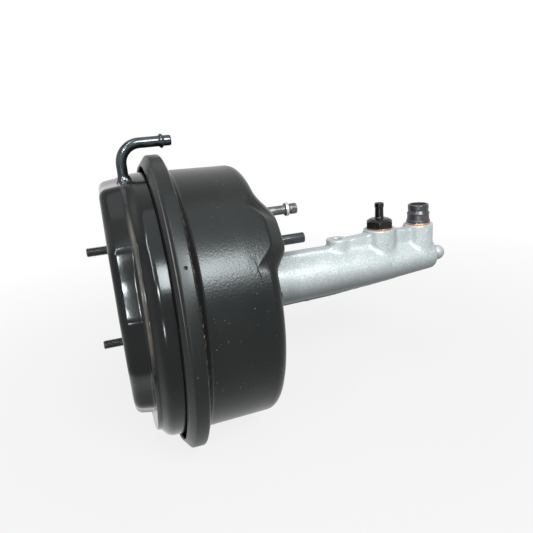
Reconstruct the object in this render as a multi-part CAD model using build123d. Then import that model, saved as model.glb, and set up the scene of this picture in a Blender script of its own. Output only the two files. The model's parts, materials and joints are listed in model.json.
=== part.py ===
from build123d import *
import math
import os

# Single-diaphragm vacuum brake booster with its tandem master cylinder, in millimetres.
# +X runs from the bulkhead towards the cylinder's nose, +Z is up where the ports stand.
# The model is drawn about the booster's own axis, then lowered so that the origin is
# the middle of the rear stud pattern, on the mounting face.

# Sheet and joint ring of the two shells
SHEET = 2.0
CUP_RADIUS = 117.0
CUP_ROOT_RADIUS = CUP_RADIUS + 1.5
RING_RADIUS = CUP_ROOT_RADIUS + 14.5
LIP_RADIUS = RING_RADIUS - 7.5
RING_REAR = 40.0
RING_FRONT = RING_REAR + 12.5
LIP_REAR = RING_REAR - 6.0
CUP_ROOT = RING_FRONT + 6.0
CUP_FRONT = CUP_ROOT + 62.5
CUP_BEND = 13.0
RING_BEND = 5.0
LIP_BEND = 3.0
ROOT_BEND = 4.0
DRAIN_HOLE_RADIUS = 1.5
DRAIN_HOLE_ANGLE = 28.0
REINFORCEMENT_MARGIN = 14.0

# Raised lobe on the front shell, which carries the two front pipes
LOBE_HEIGHT = 12.0
LOBE_FOOT_DEPTH = 7.0
LOBE_TOP_RADIUS = CUP_RADIUS - 11.0
LOBE_START_ANGLE = 29.0
LOBE_MIDDLE_ANGLE = 41.0
LOBE_END_ANGLE = 52.0
LOBE_INNER_Y = -8.0
LOBE_OUTER_Y = -80.0
LOBE_HIGH_Z = 84.0
LOBE_LOW_Z = 36.0
LOBE_SPREAD = 10.0
LOBE_ANGLE_SPREAD = 4.5
LOBE_FOOT_INSET = 0.6
LOBE_EDGE = 4.0
LOBE_CORNER = 9.0

# Rear shell: eccentric many-sided platform with a deep well for the valve body
FLANGE_RADIUS = RING_RADIUS - 3.0
SHOULDER_RADIUS = FLANGE_RADIUS - 10.5
SHOULDER = 20.5
SHOULDER_BEND = 5.0
LEDGE = 16.0
LEDGE_RADIUS = SHOULDER_RADIUS - 7.5
LEDGE_BEND = 2.0
STUD_CENTRE_RISE = 12.0
PLATFORM_CORNER_RADIUS = SHOULDER_RADIUS - STUD_CENTRE_RISE
PLATFORM_DRAFT = 2.5
PLATFORM_EDGE = 6.0
PLATFORM_CORNER_BEND = 12.0
PLATFORM_LOW_BEND = 30.0
PLATFORM_LOW_ANGLE = -30.0
PLATFORM_CORNER_ANGLES = [71.0, 36.0, 7.0, -16.0, -42.0, -66.0]
WELL_RADIUS = 23.0
HUB_END = 52.0
HUB_LIP_RADIUS = 19.5

# Studs of the bulkhead mount
STUD_SPACING = 88.0
STUD_RADIUS = 4.0
STUD_LENGTH = 18.5
STUD_CHAMFER = 0.8
STUD_SHOULDER_RADIUS = 4.7
STUD_HEAD_RADIUS = 5.8
STUD_HEAD_DEPTH = 3.0

# Fits
PRESS_GAP = 0.1
RUNNING_GAP = 0.05
SEAT_GAP = 0.3

# Diaphragm and its plate
BEAD_WIDTH = 9.0
INNER_BEAD_WIDTH = 7.0
RUBBER = 1.6
PLATE_SHEET = 1.5
FOLD_WIDTH = 6.0
PLATE_RADIUS = CUP_RADIUS - SHEET - FOLD_WIDTH
PLATE_REAR = 46.0
PLATE_HUB_RADIUS = 34.0
PLATE_SKIRT = 18.0
PLATE_SLOPE = 16.0
PLATE_BEND = 6.0
PLATE_EDGE_BEND = 4.0
FOLD_DEPTH = 6.0

# Valve body and what it holds
NECK_RADIUS = 17.0
NECK_REAR = 4.0
NECK_BORE_RADIUS = 14.0
NECK_BORE_END = 47.0
BODY_FLANGE_REAR = 60.0
BODY_FLANGE_DEPTH = 6.0
BODY_FLANGE_RADIUS = 36.0
BODY_NOSE_DEPTH = 10.0
BODY_NOSE_RADIUS = 24.0
DISC_RADIUS = 11.5
DISC_DEPTH = 4.0
PLUNGER_RADIUS = 6.95
VALVE_TRAVEL = 1.5
FILTER_DEPTH = 7.0
POPPET_REAR = 38.0
POPPET_DEPTH = 4.0
POPPET_RING_REAR = 30.0
RETAINER_SHEET = 1.2
RETURN_SPRING_RADIUS = 29.0
RETURN_SPRING_WIRE = 2.0
VALVE_SPRING_RADIUS = 7.1
VALVE_SPRING_WIRE = 0.9

# Rods
ROD_END = 1.0
ROD_HEAD_RADIUS = 8.5
ROD_HEAD_LENGTH = 12.0
ROD_SOCKET_RADIUS = 5.0
ROD_SOCKET_DEPTH = 9.0
ROD_RADIUS = 4.5
PUSHROD_RADIUS = 4.5
PUSHROD_HEAD_DEPTH = 3.0
ADJUSTER_RADIUS = 3.5
ADJUSTER_LENGTH = 6.0

# Seal, retainer and boot in the well
SEAL_DEPTH = 10.0
SEAL_RETAINER_DEPTH = 2.0
BOOT_WALL = 1.2
BOOT_FOLDS = 5
BOOT_FOLD_DEPTH = 2.8
BOOT_REAR = 0.5
BOOT_CUFF = 4.0

# Master cylinder: casting
BORE_RADIUS = 11.9
SPIGOT_RADIUS = 20.0
SPIGOT_LENGTH = 11.5
CYLINDER_FLANGE_DEPTH = 11.0
CYLINDER_FLANGE_RADIUS = 30.0
CYLINDER_EAR_RADIUS = 11.0
CYLINDER_STUD_REACH = 41.0
CYLINDER_STUD_RADIUS = 4.0
CYLINDER_STUD_LENGTH = 11.0
NUT_ACROSS_FLATS = 13.0
NUT_HEIGHT = 6.5
WASHER_RADIUS = 8.0
WASHER_HEIGHT = 1.6
BARREL_FOOT_RADIUS = 25.5
BARREL_MIDDLE_RADIUS = 23.2
BARREL_FRONT_RADIUS = 20.6
BARREL_TIP_RADIUS = 15.6
BARREL_END_BEND = 4.5
BARREL_BLEND = 40.0
WEB_WIDTH = 14.0
WEB_LOW_HEIGHT = 26.0
WEB_HIGH_HEIGHT = 34.0
RIB_WIDTH = 9.0
RIB_FOOT_DROP = 26.8
RIB_END_DROP = 18.0

# Master cylinder: bosses and ports
FEED_BOSS = 268.3
OUTLET_BOSS = FEED_BOSS - 49.0
FRONT_BOSS = FEED_BOSS + 46.5
OUTLET_BOSS_RADIUS = 10.6
OUTLET_BOSS_TOP = 33.0
OUTLET_THREAD_RADIUS = 5.0
OUTLET_THREAD_DEPTH = 14.0
FEED_BOSS_RADIUS = 16.3
FEED_BOSS_TOP = 37.0
FEED_THREAD_RADIUS = 9.0
FRONT_BOSS_RADIUS = 15.1
FRONT_BOSS_TOP = 36.0
FRONT_THREAD_RADIUS = 9.0
ADAPTOR_THREAD_DEPTH = 12.0
PORT_RADIUS = 2.0
PLUG_NECK_RADIUS = 6.5
PLUG_DOME_RADIUS = 8.0
BARREL_MIDDLE = OUTLET_BOSS - 12.0
BARREL_FRONT = FEED_BOSS - 6.0
RIB_END = FEED_BOSS + 14.0
BORE_END = FRONT_BOSS + 4.0
BARREL_TIP = FRONT_BOSS + 11.0
BARREL_END = BARREL_TIP + 5.5
PLUG_DOME_CENTRE = BARREL_END + 7.5

# Adaptors
COPPER_RADIUS = 12.4
COPPER_HEIGHT = 1.5
HEX_ACROSS_FLATS = 25.4
HEX_HEIGHT = 9.6
FEED_TUBE_RADIUS = 4.25
FEED_TUBE_BORE = 3.1
FEED_TUBE_HEIGHT = 15.4
FEED_TUBE_SEAT = 4.0
FEED_TUBE_LIP_RADIUS = 4.7
FEED_TUBE_LIP = 4.0
FRONT_ADAPTOR_FLANGE_RADIUS = 12.2
FRONT_ADAPTOR_FLANGE_HEIGHT = 2.6
FRONT_ADAPTOR_RADIUS = 11.6
FRONT_ADAPTOR_TOP_RADIUS = 10.4
FRONT_ADAPTOR_LAND = 4.5
FRONT_ADAPTOR_HEIGHT = 16.4
FRONT_ADAPTOR_BORE = 6.5
FRONT_ADAPTOR_MOUTH = 8.2
FRONT_ADAPTOR_MOUTH_DEPTH = 6.0

# Pistons, seals and springs of the master cylinder
CIRCLIP_REAR = CUP_FRONT - 9.0
CIRCLIP_DEPTH = 1.5
CIRCLIP_OPENING = 5.0
CIRCLIP_GROOVE = 1.2
PRIMARY_LENGTH = 42.0
PISTON_SPOOL_RADIUS = 8.0
PISTON_NOSE_RADIUS = 6.5
PISTON_LAND = 4.0
CUP_DEPTH = 5.0
PUSHROD_SOCKET_RADIUS = 5.3
PUSHROD_SOCKET_DEPTH = 22.0
SECONDARY_REAR = BORE_END - 94.0
SECONDARY_LENGTH = 36.0
SECONDARY_GUIDE_LENGTH = 28.0
GUIDE_RADIUS = 4.0
PRIMARY_GUIDE_LENGTH = 8.0
SECONDARY_SOCKET_RADIUS = 3.0
SECONDARY_SOCKET_DEPTH = 6.0
PRIMARY_SPRING_RADIUS = 8.0
SECONDARY_SPRING_RADIUS = 9.0
PISTON_SPRING_WIRE = 1.2

# Pipes
REAR_PIPE_RADIUS = 4.5
REAR_PIPE_BORE = 3.4
REAR_PIPE_X = 22.0
REAR_PIPE_RISE = RING_RADIUS + 11.0
REAR_PIPE_BEND = 17.0
REAR_PIPE_END = 66.0
REAR_PIPE_BEAD_RADIUS = 6.2
REAR_PIPE_BEAD_BACK = 8.5
REAR_PIPE_FOOT = LEDGE_RADIUS - 4.5
REAR_PIPE_FOOT_RADIUS = 7.4
REAR_PIPE_FOOT_HEIGHT = 13.0
FRONT_PIPE_Y = -20.0
FRONT_PIPE_Z = 74.0
FRONT_PIPE_RADIUS = 4.2
FRONT_PIPE_BORE = 3.0
FRONT_PIPE_REACH = 36.5
FRONT_PIPE_COLLAR_RADIUS = 6.1
FRONT_PIPE_COLLAR_BACK = 9.5
FRONT_PIPE_TIP_RADIUS = 4.9
STUB_PIPE_Y = -30.0
STUB_PIPE_Z = 48.0
STUB_PIPE_RADIUS = 4.8
STUB_PIPE_BORE = 3.7
STUB_PIPE_REACH = 38.5
PIPE_FOOT_RADIUS = 7.5
PIPE_FOOT_HEIGHT = 1.5

# Worked out from the above
CUP_INNER_FRONT = CUP_FRONT - SHEET
LOBE_FRONT = CUP_FRONT + LOBE_HEIGHT
FRONT_PIPE_END = LOBE_FRONT + FRONT_PIPE_REACH
STUB_PIPE_END = LOBE_FRONT + STUB_PIPE_REACH
BODY_FLANGE_FRONT = BODY_FLANGE_REAR + BODY_FLANGE_DEPTH
BODY_NOSE_END = BODY_FLANGE_FRONT + BODY_NOSE_DEPTH
SEAL_FRONT = HUB_END - SHEET
SEAL_REAR = SEAL_FRONT - SEAL_DEPTH
SEAL_RETAINER_REAR = SEAL_REAR - SEAL_RETAINER_DEPTH
REINFORCEMENT_REAR = CUP_INNER_FRONT - SHEET
CYLINDER_FLANGE_FRONT = CUP_FRONT + CYLINDER_FLANGE_DEPTH
CYLINDER_STUD_END = CYLINDER_FLANGE_FRONT + CYLINDER_STUD_LENGTH
PRIMARY_REAR = CIRCLIP_REAR + CIRCLIP_DEPTH
PRIMARY_FRONT = PRIMARY_REAR + PRIMARY_LENGTH
SECONDARY_FRONT = SECONDARY_REAR + SECONDARY_LENGTH
PISTON_RADIUS = BORE_RADIUS - RUNNING_GAP
FRONT_SKIN = [(LIP_REAR, LIP_RADIUS), (RING_REAR, RING_RADIUS), (RING_FRONT, RING_RADIUS),
              (CUP_ROOT, CUP_ROOT_RADIUS), (CUP_FRONT, CUP_RADIUS),
              (CUP_FRONT, SPIGOT_RADIUS + PRESS_GAP)]


# Helpers

def turned(outline, bends=None):
    """Solid turned about the booster axis from a closed (x, radius) outline."""
    points = [(x, 0, radius) for x, radius in outline]
    if bends is None:
        wire = Polyline(points, close=True)
    else:
        wire = FilletPolyline(points, radius=bends, close=True)
    return revolve(make_face(wire), Axis.X)


def ring(rear, front, inner, outer):
    """Plain ring or disc about the booster axis."""
    return turned([(rear, inner), (rear, outer), (front, outer), (front, inner)])


def unit(start, end):
    """Unit step from one point to the next."""
    length = math.dist(start, end)
    return (end[0] - start[0]) / length, (end[1] - start[1]) / length


def parallel(line, distance):
    """Line to the left of an open (x, radius) line, with mitred corners."""
    steps = [unit(start, end) for start, end in zip(line, line[1:])]
    before = [steps[0]] + steps
    after = steps + [steps[-1]]
    moved = []
    for (x, radius), (bx, br), (ax, ar) in zip(line, before, after):
        share = distance / (1 + bx * ax + br * ar)
        moved.append((x - (br + ar) * share, radius + (bx + ax) * share))
    return moved


def pressing(line, bends, sheet):
    """Even sheet turned about the axis; line is the outer skin and bends its inner corners' radii."""
    steps = [unit(start, end) for start, end in zip(line, line[1:])]
    inner_bends = []
    for bend, (bx, br), (ax, ar) in zip(bends, steps, steps[1:]):
        turns_left = bx * ar - br * ax > 0
        inner_bends.append(max(bend + sheet if turns_left else bend - sheet, 0))
    outline = line + parallel(line, -sheet)[::-1]
    return turned(outline, [0] + bends + [0, 0] + inner_bends[::-1] + [0])


def polar(radius, degrees):
    """Point of the Y-Z plane by its angle above the -Y direction."""
    angle = math.radians(degrees)
    return -radius * math.cos(angle), radius * math.sin(angle)


def plate_at(x, outline, bends):
    """Face across the axis at x from a closed (y, z) outline."""
    return make_face(FilletPolyline([(x, y, z) for y, z in outline], radius=bends, close=True))


def beside(solid, y, z):
    """Move a solid turned about the axis to a parallel axis."""
    return Pos(0, y, z) * solid


def upright(x, bottom, top, radius, inner=0):
    """Upright cylinder or tube that stands over the axis."""
    standing = (Align.CENTER, Align.CENTER, Align.MIN)
    solid = Cylinder(radius, top - bottom, align=standing)
    if inner:
        solid -= Cylinder(inner, top - bottom, align=standing)
    return Pos(x, 0, bottom) * solid


def coil(rear, front, radius, wire, turns):
    """Round-wire compression spring about the axis, its wire's skin between rear and front."""
    height = front - rear - 2 * wire
    path = Helix(pitch=height / turns, height=height, radius=radius)
    section = Plane(origin=path @ 0, z_dir=path % 0) * Circle(wire)
    spring = sweep(section, path=path, is_frenet=True)
    return Pos(rear + wire, 0, 0) * Rot(0, 90, 0) * spring


def write(name, solid):
    """Lower a finished sub-part to the shared origin and write its file."""
    export_step(Pos(0, 0, -STUD_CENTRE_RISE) * solid, f"parts/{name}.step")


# Front shell

def lobe(inset):
    """Raised lobe as a solid block, smaller on every side by inset."""
    top = lobe_outline(LOBE_TOP_RADIUS - inset, -inset, 0)
    foot = lobe_outline(CUP_RADIUS - LOBE_FOOT_INSET - inset, LOBE_SPREAD - inset, LOBE_ANGLE_SPREAD)
    bends = [LOBE_CORNER - inset] * len(top)
    foot_x = CUP_FRONT - LOBE_FOOT_DEPTH - inset
    block = loft([plate_at(foot_x, foot, bends), plate_at(LOBE_FRONT - inset, top, bends)], ruled=True)
    edge = LOBE_EDGE - inset
    return fillet(block.faces().sort_by(Axis.X)[-1].edges(), edge)


def lobe_outline(radius, spread, turn):
    """Closed (y, z) outline of the lobe: outer corners widened by turn, the others moved out by spread."""
    return [polar(radius, LOBE_START_ANGLE - turn), polar(radius, LOBE_MIDDLE_ANGLE),
            polar(radius, LOBE_END_ANGLE + turn), (LOBE_INNER_Y + spread, LOBE_HIGH_Z + spread),
            (LOBE_INNER_Y + spread, LOBE_LOW_Z - spread), (LOBE_OUTER_Y - spread, LOBE_LOW_Z - spread)]


def front_shell():
    """Deep cup with a rolled joint ring, a raised lobe and the cylinder's seat."""
    shell = pressing(FRONT_SKIN, [LIP_BEND, RING_BEND, ROOT_BEND, CUP_BEND], SHEET)
    shell = shell + (lobe(0) - turned(cup_room())) - lobe(SHEET)
    for y, z, radius in front_pipe_places():
        shell -= beside(ring(CUP_ROOT, LOBE_FRONT + 1, 0, radius + PRESS_GAP), y, z)
    for side in (-1, 1):
        hole = ring(CUP_ROOT, CUP_FRONT + 1, 0, CYLINDER_STUD_RADIUS + PRESS_GAP)
        shell -= beside(hole, side * CYLINDER_STUD_REACH, 0)
    drain = Rot(-DRAIN_HOLE_ANGLE, 0, 0) * Pos(RING_FRONT - 2 * DRAIN_HOLE_RADIUS, -RING_RADIUS, 0)
    return shell - drain * Rot(90, 0, 0) * Cylinder(DRAIN_HOLE_RADIUS, 4 * SHEET)


def cup_room():
    """Outline of the clear room inside the cup."""
    room_radius = CUP_RADIUS - SHEET
    bend = CUP_BEND - SHEET
    return [(CUP_ROOT, 0), (CUP_ROOT, room_radius), (CUP_INNER_FRONT - bend, room_radius),
            (CUP_INNER_FRONT, room_radius - bend), (CUP_INNER_FRONT, 0)]


def front_pipe_places():
    """Y, Z and outer radius of the two pipes in the lobe."""
    return [(FRONT_PIPE_Y, FRONT_PIPE_Z, FRONT_PIPE_RADIUS), (STUB_PIPE_Y, STUB_PIPE_Z, STUB_PIPE_RADIUS)]


def front_reinforcement_plate():
    """Steel plate inside the cup that spreads the cylinder's load."""
    outer = CYLINDER_STUD_REACH + REINFORCEMENT_MARGIN
    plate = ring(REINFORCEMENT_REAR, CUP_INNER_FRONT, SPIGOT_RADIUS + PRESS_GAP, outer)
    for side in (-1, 1):
        hole = ring(REINFORCEMENT_REAR, CUP_INNER_FRONT, 0, CYLINDER_STUD_RADIUS + PRESS_GAP)
        plate -= beside(hole, side * CYLINDER_STUD_REACH, 0)
    return plate


# Rear shell

def platform(inset):
    """Eccentric many-sided rear platform as a block, smaller on every side by inset."""
    radius = PLATFORM_CORNER_RADIUS - inset
    near = PLATFORM_CORNER_ANGLES
    angles = near + [-90] + [180 - angle for angle in near[::-1]]
    near_bends = [PLATFORM_CORNER_BEND if angle > PLATFORM_LOW_ANGLE else PLATFORM_LOW_BEND for angle in near]
    bends = near_bends + [PLATFORM_LOW_BEND] + near_bends[::-1]
    faces = []
    for x, corner in ((inset, radius - PLATFORM_DRAFT), (LEDGE + SHEET, radius)):
        outline = [(y, z + STUD_CENTRE_RISE) for y, z in (polar(corner, angle) for angle in angles)]
        faces.append(plate_at(x, outline, bends))
    block = loft(faces, ruled=True)
    return fillet(block.faces().sort_by(Axis.X)[0].edges(), PLATFORM_EDGE - inset)


def flange_rear():
    """Where the flange's rim meets the sloping inner face of the rolled lip."""
    slope = (RING_RADIUS - LIP_RADIUS) / (RING_REAR - LIP_REAR)
    depth = SHEET * math.hypot(1, slope) / slope
    return RING_REAR - (RING_RADIUS - FLANGE_RADIUS) / slope + depth


def rear_block(inset):
    """Platform and shoulder as one block, smaller on every side by inset."""
    front = flange_rear() + SHEET
    outline = [(LEDGE + inset, 0), (LEDGE + inset, LEDGE_RADIUS - inset),
               (SHOULDER + inset / 2, SHOULDER_RADIUS - inset),
               (front, SHOULDER_RADIUS - inset), (front, 0)]
    return turned(outline, [0, LEDGE_BEND, SHOULDER_BEND, 0, 0]) + platform(inset)


def stud_heights():
    """Heights of the two rear studs over the booster axis."""
    return [STUD_CENTRE_RISE - STUD_SPACING / 2, STUD_CENTRE_RISE + STUD_SPACING / 2]


def rear_shell():
    """Rear cover: platform, shoulder, clamped flange and the deep well with its hub."""
    flange = ring(flange_rear(), flange_rear() + SHEET, SHOULDER_RADIUS - SHEET, FLANGE_RADIUS)
    hub_wall = WELL_RADIUS + SHEET
    shell = rear_block(0) + flange - rear_block(SHEET)
    shell += ring(SHEET / 2, HUB_END, WELL_RADIUS, hub_wall)
    shell += ring(HUB_END - SHEET, HUB_END, HUB_LIP_RADIUS, hub_wall)
    shell -= ring(-1, HUB_END - SHEET, 0, WELL_RADIUS)
    mouth = SHEET * 0.6
    shell -= turned([(0, 0), (0, WELL_RADIUS + mouth), (mouth, WELL_RADIUS), (mouth, 0)])
    for z in stud_heights():
        shell -= beside(ring(-SHEET, 2 * SHEET, 0, STUD_SHOULDER_RADIUS + PRESS_GAP), 0, z)
    return shell - upright(REAR_PIPE_X, RING_RADIUS / 2, RING_RADIUS, REAR_PIPE_RADIUS + PRESS_GAP)


def rear_mounting_studs():
    """Two threaded studs pressed through the platform, each with a shoulder in it and a head inside."""
    stud = turned([(-STUD_LENGTH, 0), (-STUD_LENGTH, STUD_RADIUS - STUD_CHAMFER),
                   (-STUD_LENGTH + STUD_CHAMFER, STUD_RADIUS), (0, STUD_RADIUS), (0, STUD_SHOULDER_RADIUS),
                   (SHEET, STUD_SHOULDER_RADIUS), (SHEET, STUD_HEAD_RADIUS),
                   (SHEET + STUD_HEAD_DEPTH, STUD_HEAD_RADIUS), (SHEET + STUD_HEAD_DEPTH, 0)])
    low, high = stud_heights()
    return beside(stud, 0, low) + beside(stud, 0, high)


# Seal, retainer and boot in the well

def hub_seal():
    """Rubber seal that runs on the valve body's neck."""
    lip = 2.0
    return turned([(SEAL_REAR, NECK_RADIUS + lip), (SEAL_REAR, WELL_RADIUS), (SEAL_FRONT, WELL_RADIUS),
                   (SEAL_FRONT, NECK_RADIUS + RUNNING_GAP), (SEAL_FRONT - lip, NECK_RADIUS + RUNNING_GAP),
                   (SEAL_FRONT - 2 * lip, NECK_RADIUS + lip)])


def hub_seal_retainer():
    """Pressed ring that holds the seal in the hub."""
    return ring(SEAL_RETAINER_REAR, SEAL_REAR, NECK_RADIUS + 2, WELL_RADIUS)


def dust_boot():
    """Bellows in the well, from the hub to the input rod's head."""
    outer = WELL_RADIUS - 2 * SEAT_GAP
    inner = outer - BOOT_FOLD_DEPTH
    start = BOOT_REAR
    end = SEAL_RETAINER_REAR
    pitch = (end - BOOT_CUFF - start - BOOT_WALL) / BOOT_FOLDS
    line = [(start, ROD_HEAD_RADIUS + SEAT_GAP), (start, inner)]
    for fold in range(BOOT_FOLDS):
        x = start + BOOT_WALL + pitch * fold
        line += [(x + pitch * 0.25, outer), (x + pitch * 0.75, inner)]
    line += [(end - BOOT_CUFF, outer), (end, outer)]
    back = parallel(line, -BOOT_WALL)[::-1]
    return turned(line + back) + ring(end - BOOT_CUFF / 2, end, outer - BOOT_WALL, WELL_RADIUS)


# Diaphragm and power piston

def diaphragm_plate():
    """Pressed plate behind the valve body's flange, with a skirt for the rolling wall."""
    hub = BODY_FLANGE_REAR - PLATE_SHEET
    skin = [(hub, NECK_RADIUS + PRESS_GAP), (hub, PLATE_HUB_RADIUS),
            (PLATE_REAR, PLATE_HUB_RADIUS + PLATE_SLOPE), (PLATE_REAR, PLATE_RADIUS),
            (PLATE_REAR + PLATE_SKIRT, PLATE_RADIUS)]
    return pressing(skin, [PLATE_BEND, PLATE_BEND, PLATE_EDGE_BEND], PLATE_SHEET)


def diaphragm():
    """Rolling rubber diaphragm: bead in the joint, fold along the cup, sheet behind the plate."""
    hub = BODY_FLANGE_REAR - PLATE_SHEET - PRESS_GAP
    rear = PLATE_REAR - PRESS_GAP
    skirt = PLATE_RADIUS + PRESS_GAP
    wall = CUP_RADIUS - SHEET - PRESS_GAP
    fold = PLATE_REAR + PLATE_SKIRT + FOLD_DEPTH
    slope_top, slope_foot = parallel(FRONT_SKIN, -SHEET - PRESS_GAP)[2:4]
    up_x, up_radius = unit(slope_foot, slope_top)
    hold = BEAD_WIDTH - SHEET
    line = [(hub, NECK_RADIUS + PRESS_GAP), (hub, PLATE_HUB_RADIUS), (rear, PLATE_HUB_RADIUS + PLATE_SLOPE),
            (rear, skirt), (fold, skirt), (fold, wall - SEAT_GAP), (slope_foot[0] + 1, wall - SEAT_GAP),
            (slope_foot[0] + hold * up_x - SEAT_GAP, slope_foot[1] + hold * up_radius)]
    turn = (wall - skirt - SEAT_GAP) / 2 - PRESS_GAP
    rubber = pressing(line, [PLATE_BEND, PLATE_BEND, PLATE_EDGE_BEND, turn, turn, SHEET], -RUBBER)
    bead_foot = (slope_foot[0] + SHEET * up_x, slope_foot[1] + SHEET * up_radius)
    bead_rear = flange_rear() + SHEET
    bead = turned([(bead_rear, FLANGE_RADIUS - BEAD_WIDTH), (bead_rear, slope_top[1]), slope_top,
                   bead_foot, (slope_top[0], FLANGE_RADIUS - BEAD_WIDTH - 1)],
                  [0, 0, RING_BEND - SHEET, 0, 0])
    inner_bead = ring(hub - 2 * RUBBER, hub, NECK_RADIUS + PRESS_GAP, NECK_RADIUS + INNER_BEAD_WIDTH)
    return rubber + bead + inner_bead


def valve_body():
    """Moulded body: neck, flange for the plate, nose for the reaction disc."""
    return turned([
        (NECK_REAR, NECK_BORE_RADIUS), (NECK_REAR, NECK_RADIUS), (BODY_FLANGE_REAR, NECK_RADIUS),
        (BODY_FLANGE_REAR, BODY_FLANGE_RADIUS), (BODY_FLANGE_FRONT, BODY_FLANGE_RADIUS),
        (BODY_FLANGE_FRONT, BODY_NOSE_RADIUS), (BODY_NOSE_END, BODY_NOSE_RADIUS),
        (BODY_NOSE_END, DISC_RADIUS + PRESS_GAP), (BODY_FLANGE_FRONT, DISC_RADIUS + PRESS_GAP),
        (BODY_FLANGE_FRONT, PLUNGER_RADIUS + RUNNING_GAP), (NECK_BORE_END, PLUNGER_RADIUS + RUNNING_GAP),
        (NECK_BORE_END, NECK_BORE_RADIUS)])


def reaction_disc():
    """Rubber disc between the valve body and the output rod."""
    return ring(BODY_FLANGE_FRONT, BODY_FLANGE_FRONT + DISC_DEPTH, 0, DISC_RADIUS)


def output_pushrod():
    """Rod with a flat head on the reaction disc, bored for its adjuster."""
    head = BODY_FLANGE_FRONT + DISC_DEPTH
    end = pushrod_end()
    bore = ADJUSTER_RADIUS * 0.7
    return turned([(head, 0), (head, DISC_RADIUS), (head + PUSHROD_HEAD_DEPTH, DISC_RADIUS),
                   (head + PUSHROD_HEAD_DEPTH, PUSHROD_RADIUS), (end, PUSHROD_RADIUS), (end, bore),
                   (end - 2 * ADJUSTER_LENGTH, bore), (end - 2 * ADJUSTER_LENGTH, 0)])


def pushrod_end():
    """Front end of the rod, short of the socket's bottom by the adjuster."""
    return PRIMARY_REAR + PUSHROD_SOCKET_DEPTH - SEAT_GAP - ADJUSTER_LENGTH


def pushrod_adjuster():
    """Screw in the rod's end with a domed tip in the piston's socket."""
    end = pushrod_end()
    shank = turned([(end - ADJUSTER_LENGTH, 0), (end - ADJUSTER_LENGTH, ADJUSTER_RADIUS * 0.7),
                    (end, ADJUSTER_RADIUS * 0.7), (end, 0)])
    tip = end + ADJUSTER_LENGTH
    dome = [(end, 0), (end, ADJUSTER_RADIUS), (tip, ADJUSTER_RADIUS), (tip, 0)]
    return shank + turned(dome, [0, 0, ADJUSTER_RADIUS * 0.8, 0])


def pushrod_retainer():
    """Ring on the nose that keeps the rod's head in."""
    return ring(BODY_NOSE_END, BODY_NOSE_END + RETAINER_SHEET, PUSHROD_RADIUS + 1, BODY_NOSE_RADIUS)


def air_filter():
    """Felt ring in the neck's mouth."""
    return ring(NECK_REAR, NECK_REAR + FILTER_DEPTH, ROD_HEAD_RADIUS + SEAT_GAP, NECK_BORE_RADIUS - PRESS_GAP)


def filter_retainer():
    """Perforated ring clipped over the neck's rear end."""
    rear = NECK_REAR - RETAINER_SHEET
    cap = ring(rear, NECK_REAR, ROD_HEAD_RADIUS + SEAT_GAP, NECK_RADIUS)
    middle = (ROD_HEAD_RADIUS + NECK_BORE_RADIUS) / 2
    for step in range(8):
        y, z = polar(middle, step * 45)
        cap -= beside(ring(rear, NECK_REAR, 0, 1.5), y, z)
    return cap


def poppet_valve():
    """Rubber valve ring between the plunger's collar and the body's seat."""
    return turned([(POPPET_RING_REAR + RETAINER_SHEET, NECK_BORE_RADIUS - 2),
                   (POPPET_RING_REAR + RETAINER_SHEET, NECK_BORE_RADIUS - PRESS_GAP),
                   (POPPET_REAR - 2, NECK_BORE_RADIUS - PRESS_GAP),
                   (POPPET_REAR, NECK_BORE_RADIUS - 1), (POPPET_REAR + POPPET_DEPTH, NECK_BORE_RADIUS - 1),
                   (POPPET_REAR + POPPET_DEPTH, ROD_RADIUS + 2), (POPPET_REAR, ROD_RADIUS + 2),
                   (POPPET_REAR, NECK_BORE_RADIUS - 4)])


def poppet_retainer():
    """Steel ring that holds the valve ring and seats the valve spring."""
    front = POPPET_RING_REAR + RETAINER_SHEET
    return ring(POPPET_RING_REAR, front, ROD_RADIUS + 1, NECK_BORE_RADIUS - PRESS_GAP)


# Input rod

def input_rod():
    """Pedal-side rod: a head with a blind socket, and a shank pinned in the plunger."""
    head = ROD_END + ROD_HEAD_LENGTH
    shank = plunger_socket_end() - PRESS_GAP
    return turned([(ROD_END, ROD_SOCKET_RADIUS), (ROD_END, ROD_HEAD_RADIUS), (head, ROD_HEAD_RADIUS),
                   (head, ROD_RADIUS), (shank, ROD_RADIUS), (shank, 0),
                   (ROD_END + ROD_SOCKET_DEPTH, 0), (ROD_END + ROD_SOCKET_DEPTH, ROD_SOCKET_RADIUS)])


def plunger_socket_end():
    """Bottom of the plunger's socket for the rod."""
    return NECK_BORE_END + 6


def valve_plunger():
    """Plunger with the air-valve collar, ahead of the input rod."""
    collar = POPPET_REAR + POPPET_DEPTH + SEAT_GAP
    front = BODY_FLANGE_FRONT - VALVE_TRAVEL - SEAT_GAP
    bore = ROD_RADIUS + PRESS_GAP
    return turned([(collar, bore), (collar, NECK_BORE_RADIUS - 4), (collar + 1.5, NECK_BORE_RADIUS - 4),
                   (collar + 1.5, PLUNGER_RADIUS), (front, PLUNGER_RADIUS), (front, 0),
                   (plunger_socket_end(), 0), (plunger_socket_end(), bore)])


def valve_spring():
    """Spring between the poppet's ring and the rod's head."""
    return coil(ROD_END + ROD_HEAD_LENGTH, POPPET_RING_REAR, VALVE_SPRING_RADIUS, VALVE_SPRING_WIRE, 5)


def return_spring():
    """Main spring between the valve body's flange and the front of the cup."""
    return coil(BODY_FLANGE_FRONT, REINFORCEMENT_REAR, RETURN_SPRING_RADIUS, RETURN_SPRING_WIRE, 5)


# Pipes

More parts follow.
